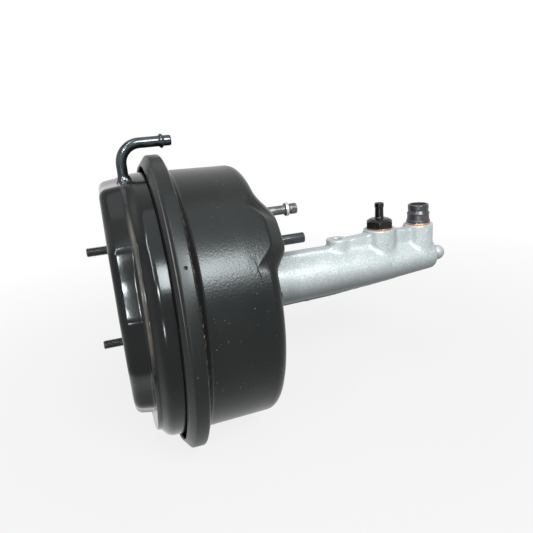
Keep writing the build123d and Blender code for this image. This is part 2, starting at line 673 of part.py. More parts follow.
def rear_vacuum_pipe():
    """Elbow pipe on the platform's top, with a hose bead near its open end."""
    path = FilletPolyline((REAR_PIPE_X, 0, REAR_PIPE_FOOT), (REAR_PIPE_X, 0, REAR_PIPE_RISE),
                          (REAR_PIPE_END, 0, REAR_PIPE_RISE), radius=REAR_PIPE_BEND)
    start = Plane(origin=(REAR_PIPE_X, 0, REAR_PIPE_FOOT), z_dir=(0, 0, 1))
    pipe = sweep(start * Circle(REAR_PIPE_RADIUS), path=path)
    bead_rear = REAR_PIPE_END - REAR_PIPE_BEAD_BACK - 2
    bead = turned([(bead_rear, 0), (bead_rear, REAR_PIPE_RADIUS), (bead_rear + 1, REAR_PIPE_BEAD_RADIUS),
                   (bead_rear + 2.4, REAR_PIPE_BEAD_RADIUS), (bead_rear + 4, REAR_PIPE_RADIUS),
                   (bead_rear + 4, 0)])
    collar = Pos(REAR_PIPE_X, 0, REAR_PIPE_FOOT) * Cone(
        REAR_PIPE_FOOT_RADIUS, REAR_PIPE_RADIUS, REAR_PIPE_FOOT_HEIGHT,
        align=(Align.CENTER, Align.CENTER, Align.MIN))
    collar -= rear_block(0)
    pipe = pipe + beside(bead, 0, REAR_PIPE_RISE) + collar
    return pipe - sweep(start * Circle(REAR_PIPE_BORE), path=path)


def front_vacuum_pipe():
    """Straight pipe in the lobe with a collar and a slightly flared tip."""
    collar = FRONT_PIPE_END - FRONT_PIPE_COLLAR_BACK
    outline = [(LOBE_FRONT - SHEET - 2, FRONT_PIPE_BORE), (LOBE_FRONT - SHEET - 2, FRONT_PIPE_RADIUS)]
    outline += pipe_foot(FRONT_PIPE_RADIUS)
    outline += [(collar - 1.8, FRONT_PIPE_RADIUS), (collar - 1.2, FRONT_PIPE_COLLAR_RADIUS),
                (collar + 1.2, FRONT_PIPE_COLLAR_RADIUS), (collar + 1.8, FRONT_PIPE_RADIUS),
                (collar + 2.4, FRONT_PIPE_RADIUS), (collar + 3.4, FRONT_PIPE_TIP_RADIUS),
                (FRONT_PIPE_END, FRONT_PIPE_TIP_RADIUS), (FRONT_PIPE_END, FRONT_PIPE_BORE)]
    return beside(turned(outline), FRONT_PIPE_Y, FRONT_PIPE_Z)


def pipe_foot(radius):
    """Brazed foot of a front pipe on the lobe, as outline points."""
    return [(LOBE_FRONT, radius), (LOBE_FRONT, PIPE_FOOT_RADIUS),
            (LOBE_FRONT + PIPE_FOOT_HEIGHT, PIPE_FOOT_RADIUS - 1), (LOBE_FRONT + PIPE_FOOT_HEIGHT, radius)]


def front_stub_pipe():
    """Plain straight pipe in the lobe, cut square."""
    outline = [(LOBE_FRONT - SHEET - 2, STUB_PIPE_BORE), (LOBE_FRONT - SHEET - 2, STUB_PIPE_RADIUS)]
    outline += pipe_foot(STUB_PIPE_RADIUS)
    outline += [(STUB_PIPE_END, STUB_PIPE_RADIUS), (STUB_PIPE_END, STUB_PIPE_BORE)]
    return beside(turned(outline), STUB_PIPE_Y, STUB_PIPE_Z)


# Master cylinder

def barrel():
    """Tapering barrel of the casting with its spigot, as a block."""
    outline = [(CUP_FRONT - SPIGOT_LENGTH, 0), (CUP_FRONT - SPIGOT_LENGTH, SPIGOT_RADIUS),
               (CUP_FRONT, SPIGOT_RADIUS), (CUP_FRONT, BARREL_FOOT_RADIUS),
               (BARREL_MIDDLE, BARREL_MIDDLE_RADIUS), (BARREL_FRONT, BARREL_FRONT_RADIUS),
               (BARREL_TIP, BARREL_TIP_RADIUS), (BARREL_END, BARREL_TIP_RADIUS - 2), (BARREL_END, 0)]
    return turned(outline, [0, 1, 0, 0, BARREL_BLEND, BARREL_BLEND, BARREL_END_BEND, 2, 0])


def side_plate(outline, width):
    """Plate in the cylinder's middle plane from an (x, z) outline."""
    face = make_face(Polyline([(x, -width / 2, z) for x, z in outline], close=True))
    return extrude(face, amount=width, dir=(0, 1, 0))


def cylinder_flange():
    """Two-eared flange of the casting."""
    flange = ring(CUP_FRONT, CYLINDER_FLANGE_FRONT, 0, CYLINDER_FLANGE_RADIUS)
    for side in (-1, 1):
        ear = ring(CUP_FRONT, CYLINDER_FLANGE_FRONT, 0, CYLINDER_EAR_RADIUS)
        flange += beside(ear, side * CYLINDER_STUD_REACH, 0)
    wedge = [(-CYLINDER_STUD_REACH, CYLINDER_EAR_RADIUS), (0, CYLINDER_FLANGE_RADIUS),
             (CYLINDER_STUD_REACH, CYLINDER_EAR_RADIUS), (CYLINDER_STUD_REACH, -CYLINDER_EAR_RADIUS),
             (0, -CYLINDER_FLANGE_RADIUS), (-CYLINDER_STUD_REACH, -CYLINDER_EAR_RADIUS)]
    face = make_face(Polyline([(CUP_FRONT, y, z) for y, z in wedge], close=True))
    flange += extrude(face, amount=CYLINDER_FLANGE_DEPTH, dir=(1, 0, 0))
    for side in (-1, 1):
        hole = ring(CUP_FRONT, CYLINDER_FLANGE_FRONT, 0, CYLINDER_STUD_RADIUS + 2 * PRESS_GAP)
        flange -= beside(hole, side * CYLINDER_STUD_REACH, 0)
    return flange


def boss_list():
    """Place, radius, top, thread radius and thread depth of each boss."""
    return [(OUTLET_BOSS, OUTLET_BOSS_RADIUS, OUTLET_BOSS_TOP, OUTLET_THREAD_RADIUS, OUTLET_THREAD_DEPTH),
            (FEED_BOSS, FEED_BOSS_RADIUS, FEED_BOSS_TOP, FEED_THREAD_RADIUS, ADAPTOR_THREAD_DEPTH + 1),
            (FRONT_BOSS, FRONT_BOSS_RADIUS, FRONT_BOSS_TOP, FRONT_THREAD_RADIUS, ADAPTOR_THREAD_DEPTH + 1)]


def master_cylinder_body():
    """Casting: flange, barrel, web, rib and bosses, with its bore, ports and plug hole."""
    body = barrel() + cylinder_flange()
    low_web = [(CUP_FRONT, 0), (CUP_FRONT, WEB_LOW_HEIGHT), (OUTLET_BOSS, WEB_LOW_HEIGHT), (OUTLET_BOSS, 0)]
    high_web = [(OUTLET_BOSS, 0), (OUTLET_BOSS, OUTLET_BOSS_TOP - 2), (FEED_BOSS, WEB_HIGH_HEIGHT),
                (FRONT_BOSS, WEB_HIGH_HEIGHT - 2), (FRONT_BOSS, 0)]
    rib = [(CUP_FRONT, 0), (CUP_FRONT, -RIB_FOOT_DROP), (BARREL_MIDDLE, -RIB_FOOT_DROP + 2.2),
           (RIB_END, -RIB_END_DROP), (RIB_END, 0)]
    body += side_plate(low_web, WEB_WIDTH) + side_plate(high_web, WEB_WIDTH) + side_plate(rib, RIB_WIDTH)
    for x, radius, top, _, _ in boss_list():
        body += upright(x, 0, top, radius)
    body -= ring(CUP_FRONT - SPIGOT_LENGTH, BORE_END, 0, BORE_RADIUS)
    body -= ring(CIRCLIP_REAR, PRIMARY_REAR, 0, BORE_RADIUS + CIRCLIP_GROOVE)
    body -= ring(BORE_END, BARREL_END, 0, PLUG_NECK_RADIUS + PRESS_GAP)
    body -= ring(seal_groove_rear(), seal_groove_rear() + 2 * SHEET, SPIGOT_RADIUS - SHEET, SPIGOT_RADIUS + 1)
    for x, _, top, thread, depth in boss_list():
        body -= upright(x, top - depth, top, thread) + upright(x, 0, top, PORT_RADIUS)
    return body


def seal_groove_rear():
    """Rear side of the spigot's seal groove, level with the reinforcement plate."""
    return REINFORCEMENT_REAR - SHEET / 2


def cylinder_seal():
    """Ring seal in the spigot's groove."""
    rear = seal_groove_rear()
    return ring(rear, rear + 2 * SHEET, SPIGOT_RADIUS - SHEET, SPIGOT_RADIUS)


def pair(solid):
    """The same solid at both flange studs."""
    return beside(solid, -CYLINDER_STUD_REACH, 0) + beside(solid, CYLINDER_STUD_REACH, 0)


def cylinder_studs():
    """Two studs that hold the cylinder, with heads behind the reinforcement."""
    head = REINFORCEMENT_REAR - 2.5
    chamfer = 0.8
    return pair(turned([(head, 0), (head, WASHER_RADIUS - 1), (REINFORCEMENT_REAR, WASHER_RADIUS - 1),
                        (REINFORCEMENT_REAR, CYLINDER_STUD_RADIUS),
                        (CYLINDER_STUD_END - chamfer, CYLINDER_STUD_RADIUS),
                        (CYLINDER_STUD_END, CYLINDER_STUD_RADIUS - chamfer), (CYLINDER_STUD_END, 0)]))


def cylinder_washers():
    """Washers under the cylinder nuts."""
    washer = ring(CYLINDER_FLANGE_FRONT, CYLINDER_FLANGE_FRONT + WASHER_HEIGHT,
                  CYLINDER_STUD_RADIUS + PRESS_GAP, WASHER_RADIUS)
    return pair(washer)


def hexagon(rear, front, across_flats):
    """Hexagonal block about the axis with its corners turned off at the front."""
    corner = across_flats / math.sqrt(3)
    turned_off = corner - across_flats / 2
    face = Plane(origin=(rear, 0, 0), z_dir=(1, 0, 0)) * RegularPolygon(corner, 6)
    trim = turned([(rear, 0), (rear, corner + 1), (front - turned_off, corner + 1),
                   (front - turned_off * 0.6, corner), (front, across_flats / 2 - 0.4), (front, 0)])
    return extrude(face, amount=front - rear, dir=(1, 0, 0)) & trim


def cylinder_nuts():
    """Hexagon nuts on the cylinder studs."""
    rear = CYLINDER_FLANGE_FRONT + WASHER_HEIGHT
    nut = hexagon(rear, rear + NUT_HEIGHT, NUT_ACROSS_FLATS)
    return pair(nut - ring(rear, rear + NUT_HEIGHT, 0, CYLINDER_STUD_RADIUS + PRESS_GAP))


def end_plug():
    """Domed plug screwed into the casting's front end."""
    neck_end = PLUG_DOME_CENTRE - math.sqrt(PLUG_DOME_RADIUS ** 2 - PLUG_NECK_RADIUS ** 2)
    neck = ring(BORE_END, neck_end + 1, 0, PLUG_NECK_RADIUS)
    return neck + Pos(PLUG_DOME_CENTRE, 0, 0) * Sphere(PLUG_DOME_RADIUS)


# Pistons

def piston_circlip():
    """Open ring in the bore's groove that stops the primary piston."""
    clip = ring(CIRCLIP_REAR, PRIMARY_REAR, BORE_RADIUS - 2.4, BORE_RADIUS + CIRCLIP_GROOVE - PRESS_GAP)
    opening = Box(2 * CIRCLIP_DEPTH, CIRCLIP_OPENING, BORE_RADIUS)
    return clip - Pos((CIRCLIP_REAR + PRIMARY_REAR) / 2, 0, -BORE_RADIUS) * opening


def piston(rear, length, guide, socket):
    """Spool piston with a cup groove at each end, a front guide and a rear socket."""
    front = rear + length
    groove = rear + PISTON_LAND
    second_land = groove + CUP_DEPTH
    nose = front - CUP_DEPTH
    guide_radius, guide_length = guide
    socket_radius, socket_depth = socket
    outline = [(rear, socket_radius), (rear, PISTON_RADIUS), (groove, PISTON_RADIUS),
               (groove, PISTON_SPOOL_RADIUS + 1), (second_land, PISTON_SPOOL_RADIUS + 1),
               (second_land, PISTON_RADIUS), (second_land + PISTON_LAND, PISTON_RADIUS),
               (second_land + PISTON_LAND, PISTON_SPOOL_RADIUS), (nose - PISTON_LAND, PISTON_SPOOL_RADIUS),
               (nose - PISTON_LAND, PISTON_RADIUS), (nose, PISTON_RADIUS), (nose, PISTON_NOSE_RADIUS),
               (front, PISTON_NOSE_RADIUS), (front, guide_radius), (front + guide_length, guide_radius),
               (front + guide_length, 0), (rear + socket_depth, 0), (rear + socket_depth, socket_radius)]
    return turned(outline)


def cups(rear, length):
    """The piston's rear ring seal and front cup."""
    front = rear + length
    groove = rear + PISTON_LAND
    rear_seal = ring(groove, groove + CUP_DEPTH, PISTON_SPOOL_RADIUS + 1, PISTON_RADIUS)
    front_cup = turned([(front - CUP_DEPTH, PISTON_NOSE_RADIUS), (front - CUP_DEPTH, PISTON_RADIUS),
                        (front, PISTON_RADIUS), (front, PISTON_RADIUS - 1.2),
                        (front - CUP_DEPTH / 2, PISTON_RADIUS - 2),
                        (front - CUP_DEPTH / 2, PISTON_NOSE_RADIUS)])
    return rear_seal + front_cup


def primary_piston():
    """Rear piston, pushed by the output rod in its socket."""
    guide = (GUIDE_RADIUS, PRIMARY_GUIDE_LENGTH)
    return piston(PRIMARY_REAR, PRIMARY_LENGTH, guide, (PUSHROD_SOCKET_RADIUS, PUSHROD_SOCKET_DEPTH))


def secondary_piston():
    """Floating front piston with a guide nose inside its spring."""
    guide = (GUIDE_RADIUS, SECONDARY_GUIDE_LENGTH)
    return piston(SECONDARY_REAR, SECONDARY_LENGTH, guide, (SECONDARY_SOCKET_RADIUS, SECONDARY_SOCKET_DEPTH))


def primary_spring():
    """Spring between the two pistons."""
    return coil(PRIMARY_FRONT, SECONDARY_REAR, PRIMARY_SPRING_RADIUS, PISTON_SPRING_WIRE, 9)


def secondary_spring():
    """Spring between the front piston and the end of the bore."""
    return coil(SECONDARY_FRONT, BORE_END, SECONDARY_SPRING_RADIUS, PISTON_SPRING_WIRE, 8)


# Adaptors on the two large bosses

def copper_washer(x, top):
    """Copper sealing washer on a boss."""
    return upright(x, top, top + COPPER_HEIGHT, COPPER_RADIUS, FEED_THREAD_RADIUS + PRESS_GAP)


def feed_hex_adaptor():
    """Hexagon-headed adaptor with rounded top corners, bored for the feed tube."""
    seat = FEED_BOSS_TOP + COPPER_HEIGHT
    head = hexagon(0, HEX_HEIGHT, HEX_ACROSS_FLATS)
    shank = ring(-ADAPTOR_THREAD_DEPTH - COPPER_HEIGHT, 0, 0, FEED_THREAD_RADIUS - PRESS_GAP)
    bores = ring(-ADAPTOR_THREAD_DEPTH - COPPER_HEIGHT, HEX_HEIGHT, 0, FEED_TUBE_BORE)
    bores += ring(HEX_HEIGHT - FEED_TUBE_SEAT, HEX_HEIGHT, 0, FEED_TUBE_RADIUS)
    return Pos(FEED_BOSS, 0, seat) * Rot(0, -90, 0) * (head + shank - bores)


def feed_tube():
    """Thin tube brazed into the hexagon adaptor, its lip slightly flared."""
    seat = FEED_BOSS_TOP + COPPER_HEIGHT + HEX_HEIGHT
    tube = turned([(-FEED_TUBE_SEAT, FEED_TUBE_BORE), (-FEED_TUBE_SEAT, FEED_TUBE_RADIUS),
                   (FEED_TUBE_HEIGHT - FEED_TUBE_LIP - 1, FEED_TUBE_RADIUS),
                   (FEED_TUBE_HEIGHT - FEED_TUBE_LIP, FEED_TUBE_LIP_RADIUS),
                   (FEED_TUBE_HEIGHT, FEED_TUBE_LIP_RADIUS), (FEED_TUBE_HEIGHT, FEED_TUBE_BORE)])
    return Pos(FEED_BOSS, 0, seat) * Rot(0, -90, 0) * tube


def front_hose_adaptor():
    """Large hose adaptor: flange, tapering ridged body and an open bore."""
    flange = FRONT_ADAPTOR_FLANGE_HEIGHT
    top = flange + FRONT_ADAPTOR_HEIGHT
    waist = (FRONT_ADAPTOR_RADIUS + FRONT_ADAPTOR_TOP_RADIUS) / 2
    outline = [(-ADAPTOR_THREAD_DEPTH - COPPER_HEIGHT, FRONT_ADAPTOR_BORE),
               (-ADAPTOR_THREAD_DEPTH - COPPER_HEIGHT, FRONT_THREAD_RADIUS - PRESS_GAP),
               (0, FRONT_THREAD_RADIUS - PRESS_GAP), (0, FRONT_ADAPTOR_FLANGE_RADIUS),
               (flange, FRONT_ADAPTOR_FLANGE_RADIUS - 0.4), (flange, FRONT_ADAPTOR_RADIUS),
               (flange + FRONT_ADAPTOR_HEIGHT * 0.4, waist),
               (flange + FRONT_ADAPTOR_HEIGHT * 0.45, waist + 0.5),
               (flange + FRONT_ADAPTOR_HEIGHT * 0.55, waist - 0.5),
               (top - FRONT_ADAPTOR_LAND - 2, FRONT_ADAPTOR_TOP_RADIUS - 0.4),
               (top - FRONT_ADAPTOR_LAND - 0.8, FRONT_ADAPTOR_TOP_RADIUS),
               (top - 0.8, FRONT_ADAPTOR_TOP_RADIUS), (top, FRONT_ADAPTOR_TOP_RADIUS - 0.8),
               (top, FRONT_ADAPTOR_MOUTH), (top - FRONT_ADAPTOR_MOUTH_DEPTH, FRONT_ADAPTOR_MOUTH),
               (top - FRONT_ADAPTOR_MOUTH_DEPTH, FRONT_ADAPTOR_BORE)]
    seat = FRONT_BOSS_TOP + COPPER_HEIGHT
    return Pos(FRONT_BOSS, 0, seat) * Rot(0, -90, 0) * turned(outline)


def main():
    """Write every sub-part."""
    os.makedirs("parts", exist_ok=True)
    makers = [front_shell, front_reinforcement_plate, rear_shell, rear_mounting_studs, hub_seal,
              hub_seal_retainer, dust_boot, diaphragm_plate, diaphragm, valve_body, reaction_disc,
              output_pushrod, pushrod_adjuster, pushrod_retainer, air_filter, filter_retainer, poppet_valve,
              poppet_retainer, input_rod, valve_plunger, valve_spring, return_spring, rear_vacuum_pipe,
              front_vacuum_pipe, front_stub_pipe, master_cylinder_body, cylinder_seal, cylinder_studs,
              cylinder_washers, cylinder_nuts, end_plug, piston_circlip, primary_piston, secondary_piston,
              primary_spring, secondary_spring, feed_hex_adaptor, feed_tube, front_hose_adaptor]
    for maker in makers:
        write(maker.__name__, maker())
    write("primary_seals", cups(PRIMARY_REAR, PRIMARY_LENGTH))
    write("secondary_seals", cups(SECONDARY_REAR, SECONDARY_LENGTH))
    write("feed_copper_washer", copper_washer(FEED_BOSS, FEED_BOSS_TOP))
    write("front_copper_washer", copper_washer(FRONT_BOSS, FRONT_BOSS_TOP))


main()
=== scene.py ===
import json
import math

import bmesh
import bpy
import numpy as np
from mathutils import Matrix, Vector


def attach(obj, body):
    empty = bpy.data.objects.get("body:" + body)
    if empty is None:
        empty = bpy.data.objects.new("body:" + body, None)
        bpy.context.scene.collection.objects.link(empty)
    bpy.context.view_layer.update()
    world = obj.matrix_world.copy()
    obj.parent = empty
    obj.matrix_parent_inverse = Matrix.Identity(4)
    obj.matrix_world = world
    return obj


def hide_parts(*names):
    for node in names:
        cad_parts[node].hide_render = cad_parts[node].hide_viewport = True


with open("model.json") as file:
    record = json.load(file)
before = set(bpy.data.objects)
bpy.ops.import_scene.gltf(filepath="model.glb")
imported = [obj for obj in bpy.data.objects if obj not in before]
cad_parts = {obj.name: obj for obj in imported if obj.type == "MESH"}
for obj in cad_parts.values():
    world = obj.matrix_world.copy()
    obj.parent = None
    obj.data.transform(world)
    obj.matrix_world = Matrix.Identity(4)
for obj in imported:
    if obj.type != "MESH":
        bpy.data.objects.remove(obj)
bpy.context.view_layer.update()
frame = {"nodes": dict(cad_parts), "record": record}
nodes = frame["nodes"]

# Shapes are written in millimetres about the booster's own axis, which runs along X
# 12 mm under the shared origin. shared() turns them to metres in the shared frame.
AXIS_DROP = 12.0


def shared(points):
    """Millimetres about the booster axis to metres in the shared frame."""
    points = np.array(points, float)
    points[:, 2] -= AXIS_DROP
    return points * 0.001


# Mesh helpers

def finished(obj):
    """The object with its modifiers worked into a plain mesh."""
    depsgraph = bpy.context.evaluated_depsgraph_get()
    mesh = bpy.data.meshes.new_from_object(obj.evaluated_get(depsgraph))
    obj.modifiers.clear()
    obj.data = mesh
    return obj


def made(name, points, faces, sharp=34.0, closed=True):
    """Object from points in millimetres, with merged seams and smooth shading broken at real corners."""
    mesh = bpy.data.meshes.new(name)
    mesh.from_pydata(shared(points).tolist(), [], faces)
    work = bmesh.new()
    work.from_mesh(mesh)
    bmesh.ops.remove_doubles(work, verts=work.verts, dist=2e-6)
    bmesh.ops.dissolve_degenerate(work, edges=work.edges, dist=1e-7)
    if closed:
        bmesh.ops.recalc_face_normals(work, faces=work.faces)
    work.to_mesh(mesh)
    work.free()
    mesh.shade_smooth()
    mesh.set_sharp_from_angle(angle=math.radians(sharp))
    obj = bpy.data.objects.new(name, mesh)
    bpy.context.scene.collection.objects.link(obj)
    return obj


def grid_faces(rows, columns, rows_closed, columns_closed=True):
    """Quads over a grid of points stored row by row."""
    faces = []
    for i in range(rows if rows_closed else rows - 1):
        up = (i + 1) % rows
        for j in range(columns if columns_closed else columns - 1):
            across = (j + 1) % columns
            faces.append((i * columns + j, i * columns + across, up * columns + across, up * columns + j))
    return faces


def rounded(outline, bends, closed=True, steps=6):
    """Outline with an arc at each corner that has a bend, and a support point beside each arc."""
    corners = [np.array(point, float) for point in outline]
    count = len(corners)
    line = []
    for i, corner in enumerate(corners):
        if bends[i] <= 0 or (not closed and i in (0, count - 1)):
            line.append(corner)
            continue
        back = corners[i - 1] - corner
        ahead = corners[(i + 1) % count] - corner
        back_length = np.linalg.norm(back)
        ahead_length = np.linalg.norm(ahead)
        back = back / back_length
        ahead = ahead / ahead_length
        room = min(back_length, ahead_length) * 0.47
        half = math.acos(np.clip(back @ ahead, -1, 1)) / 2
        if half > math.radians(89.5):
            for share in np.linspace(-1, 1, steps + 3):
                step = ahead * share if share > 0 else -back * share
                line.append(corner + step * min(room, 1.0))
            continue
        reach = min(bends[i] / math.tan(half), room)
        radius = reach * math.tan(half)
        middle = corner + (back + ahead) / np.linalg.norm(back + ahead) * radius / math.sin(half)
        first = corner + back * reach - middle
        last = corner + ahead * reach - middle
        turn = math.pi - 2 * half
        line.append(corner + back * (reach + min(0.5, (room - reach) * 0.5 + 0.01)))
        for share in np.linspace(0, 1, steps + 1):
            arm = (math.sin((1 - share) * turn) * first + math.sin(share * turn) * last) / math.sin(turn)
            line.append(middle + arm)
        line.append(corner + ahead * (reach + min(0.5, (room - reach) * 0.5 + 0.01)))
    return np.array(line)


def turned_points(line, segments):
    """Points of a line of (x, radius) turned about X, row by row."""
    angles = np.linspace(0, 2 * math.pi, segments, endpoint=False)
    x = np.repeat(line[:, 0], segments)
    radius = np.repeat(line[:, 1], segments)
    around = np.tile(angles, len(line))
    return np.column_stack([x, -radius * np.cos(around), radius * np.sin(around)])


def lathe(name, outline, bends, segments=96, y=0.0, z=0.0, upright_at=None, sharp=34.0):
    """Turned piece from a closed outline, along X at (y, z), or upright over the axis at x."""
    line = rounded(outline, bends)
    points = turned_points(line, segments)
    if upright_at is not None:
        points = np.column_stack([upright_at + points[:, 1], points[:, 2], points[:, 0]])
    else:
        points = points + np.array([0, y, z])
    return made(name, points, grid_faces(len(line), segments, True), sharp)


def joined(name, pieces):
    """Several pieces as one."""
    work = bmesh.new()
    for piece in pieces:
        work.from_mesh(piece.data)
    mesh = bpy.data.meshes.new(name)
    work.to_mesh(mesh)
    work.free()
    for piece in pieces:
        bpy.data.objects.remove(piece)
    obj = bpy.data.objects.new(name, mesh)
    bpy.context.scene.collection.objects.link(obj)
    return obj


def dressed(obj, material, body, slot, *stands_for):
    """Gives a finished piece its material and its body, and hides the nodes it stands for; slot is not used."""
    obj.data.materials.clear()
    obj.data.materials.append(material)
    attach(obj, body)
    if stands_for:
        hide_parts(*stands_for)
    return obj


def smoothstep(value):
    value = np.clip(value, 0, 1)
    return value * value * (3 - 2 * value)


def smooth_union(a, b, blend):
    """Distance to two solids joined by a soft fillet."""
    share = np.clip(0.5 + 0.5 * (b - a) / blend, 0, 1)
    return b * (1 - share) + a * share - blend * share * (1 - share)


# Materials

# Places that the paints mark, in metres along X. RING_PLANE takes the joint's lean out of them.
RING_PLANE = (1.0, 0.0184, -0.0154)
RING_MIDDLE, RING_REACH = 0.0455, 0.0105
RING_EDGE, RING_EDGE_REACH = 0.0523, 0.0014
LEDGE_MIDDLE, LEDGE_REACH = 0.0165, 0.0026
WRINKLE_X, WRINKLE_Z, WRINKLE_REACH = 0.1125, 0.0365, 0.0160
NIPPLE_COLLAR = 0.160
# Black paints: a little bluish gloss.
GLOSS_TINT = "#f0fbfd"


def colour(code):
    """Linear colour of an sRGB hex value."""
    parts = [int(code[i:i + 2], 16) / 255 for i in (1, 3, 5)]
    return [c / 12.92 if c <= 0.04045 else ((c + 0.055) / 1.055) ** 2.4 for c in parts] + [1.0]


def add(tree, kind, links=None, **settings):
    """Adds a node with its settings and links; a key that starts with in_ sets that input by number."""
    made_node = tree.nodes.new(kind)
    for key, value in settings.items():
        if key.startswith("in_"):
            made_node.inputs[int(key[3:])].default_value = value
        else:
            setattr(made_node, key, value)
    for target, source in (links or {}).items():
        tree.links.new(source, made_node.inputs[target])
    return made_node


def ramp(tree, source, stops):
    """Colour ramp from (place, hex) stops."""
    band = add(tree, "ShaderNodeValToRGB", {0: source})
    while len(band.color_ramp.elements) < len(stops):
        band.color_ramp.elements.new(1.0)
    for element, (place, code) in zip(band.color_ramp.elements, stops):
        element.position = place
        element.color = colour(code)
    return band.outputs["Color"]


def started(name, **values):
    """New material with its tree, its shader and Object coordinates; values set the shader's sockets."""
    material = bpy.data.materials.new(name)
    material.use_nodes = True
    tree = material.node_tree
    shader = tree.nodes["Principled BSDF"]
    for key, value in values.items():
        shader.inputs[key.replace("_", " ")].default_value = value
    place = add(tree, "ShaderNodeTexCoord").outputs["Object"]
    return material, tree, shader, place


def grain(tree, place, size_mm, detail, roughness=0.5):
    """Noise whose blobs are about size_mm across."""
    return add(tree, "ShaderNodeTexNoise", {0: place}, in_2=1000.0 / size_mm / 2, in_3=detail,
               in_4=roughness).outputs[0]


def bumped(tree, shader, height, depth_mm, strength, under=None):
    """Surface relief of a real depth."""
    links = {"Height": height}
    if under is not None:
        links["Normal"] = under
    bump = add(tree, "ShaderNodeBump", links)
    bump.inputs["Strength"].default_value = strength
    bump.inputs["Distance"].default_value = depth_mm * 0.001
    tree.links.new(bump.outputs[0], shader.inputs["Normal"])
    return bump.outputs[0]


def mapped(tree, source, low, high, to_low, to_high):
    """Range of a value turned to another range, held at its ends."""
    return add(tree, "ShaderNodeMapRange", {0: source}, in_1=low, in_2=high, in_3=to_low, in_4=to_high).outputs[0]


def band(tree, source, middle, half):
    """1 at the middle of a band, falling softly to 0 at its two sides."""
    away = add(tree, "ShaderNodeMath", {0: source}, operation="SUBTRACT", in_1=middle).outputs[0]
    away = add(tree, "ShaderNodeMath", {0: away}, operation="ABSOLUTE").outputs[0]
    return add(tree, "ShaderNodeMapRange", {0: away}, interpolation_type="SMOOTHSTEP", in_1=0.0, in_2=half,
               in_3=1.0, in_4=0.0).outputs[0]


def mixed(tree, share, first, second):
    """Mix of two colours."""
    mix = add(tree, "ShaderNodeMix", data_type="RGBA")
    for socket, value in ((mix.inputs[0], share), (mix.inputs[6], first), (mix.inputs[7], second)):
        if isinstance(value, str):
            socket.default_value = colour(value)
        else:
            tree.links.new(value, socket)
    return mix.outputs[2]


def front_paint():
    """Semi-gloss black stoving paint over a pressed shell: orange peel of about 1 mm, fine dust, a wrinkle
    beside the lobe, roller marks around the joint ring, and rust flecks where its front edge is worn."""
    material, tree, shader, place = started("semi_gloss_black_paint", IOR=1.5, Specular_IOR_Level=0.27,
                                            Specular_Tint=colour(GLOSS_TINT))
    peel = grain(tree, place, 1.0, 1.0)
    cloud = grain(tree, place, 30.0, 3.0)
    dust = grain(tree, place, 0.7, 0.0, 0.3)
    specks = mapped(tree, dust, 0.83, 0.87, 0.0, 0.5)
    base = ramp(tree, cloud, [(0.3, "#070808"), (0.7, "#0e0f0e")])
    base = mixed(tree, specks, base, "#6d706e")
    parts = add(tree, "ShaderNodeSeparateXYZ", {0: place}).outputs
    along = add(tree, "ShaderNodeVectorMath", {0: place}, operation="DOT_PRODUCT", in_1=RING_PLANE)
    edge = band(tree, along.outputs["Value"], RING_EDGE, RING_EDGE_REACH)
    worn = mapped(tree, grain(tree, place, 3.0, 3.0, 0.7), 0.56, 0.70, 0.0, 0.8)
    worn = add(tree, "ShaderNodeMath", {0: worn, 1: mapped(tree, parts[2], -0.04, 0.01, 0.25, 1.0)},
               operation="MULTIPLY").outputs[0]
    flecks = add(tree, "ShaderNodeMath", {0: edge, 1: worn}, operation="MULTIPLY").outputs[0]
    tree.links.new(mixed(tree, flecks, base, "#a09a84"), shader.inputs["Base Color"])
    ring = band(tree, parts[0], RING_MIDDLE, RING_REACH)
    rough = add(tree, "ShaderNodeMath", {0: ring, 2: mapped(tree, cloud, 0.3, 0.7, 0.24, 0.32)},
                operation="MULTIPLY_ADD", in_1=0.12).outputs[0]
    tree.links.new(rough, shader.inputs["Roughness"])
    drift = mapped(tree, grain(tree, place, 9.0, 1.0), 0.3, 0.7, -0.0016, 0.0016)
    slant = add(tree, "ShaderNodeMath", {0: parts[2], 2: drift}, operation="MULTIPLY_ADD", in_1=0.22).outputs[0]
    across = add(tree, "ShaderNodeMath", {0: parts[0], 1: slant}, operation="ADD").outputs[0]
    line = band(tree, across, WRINKLE_X, 0.0006)
    run = add(tree, "ShaderNodeMath", {0: line, 1: band(tree, parts[2], WRINKLE_Z, WRINKLE_REACH)},
              operation="MULTIPLY")
    near = mapped(tree, parts[1], -0.09, -0.085, 1.0, 0.0)
    crease = add(tree, "ShaderNodeMath", {0: run.outputs[0], 1: near}, operation="MULTIPLY").outputs[0]
    under = bumped(tree, shader, crease, -0.4, 0.9)
    rolled = add(tree, "ShaderNodeMapping", {0: place}, in_3=(1.0, 0.05, 0.05)).outputs[0]
    streaks = mapped(tree, grain(tree, rolled, 1.3, 2.0), 0.0, 1.0, 0.35, 0.65)
    skin = add(tree, "ShaderNodeMix", {0: ring, 2: peel, 3: streaks}).outputs[0]
    bumped(tree, shader, skin, 0.09, 1.0, under)
    return material


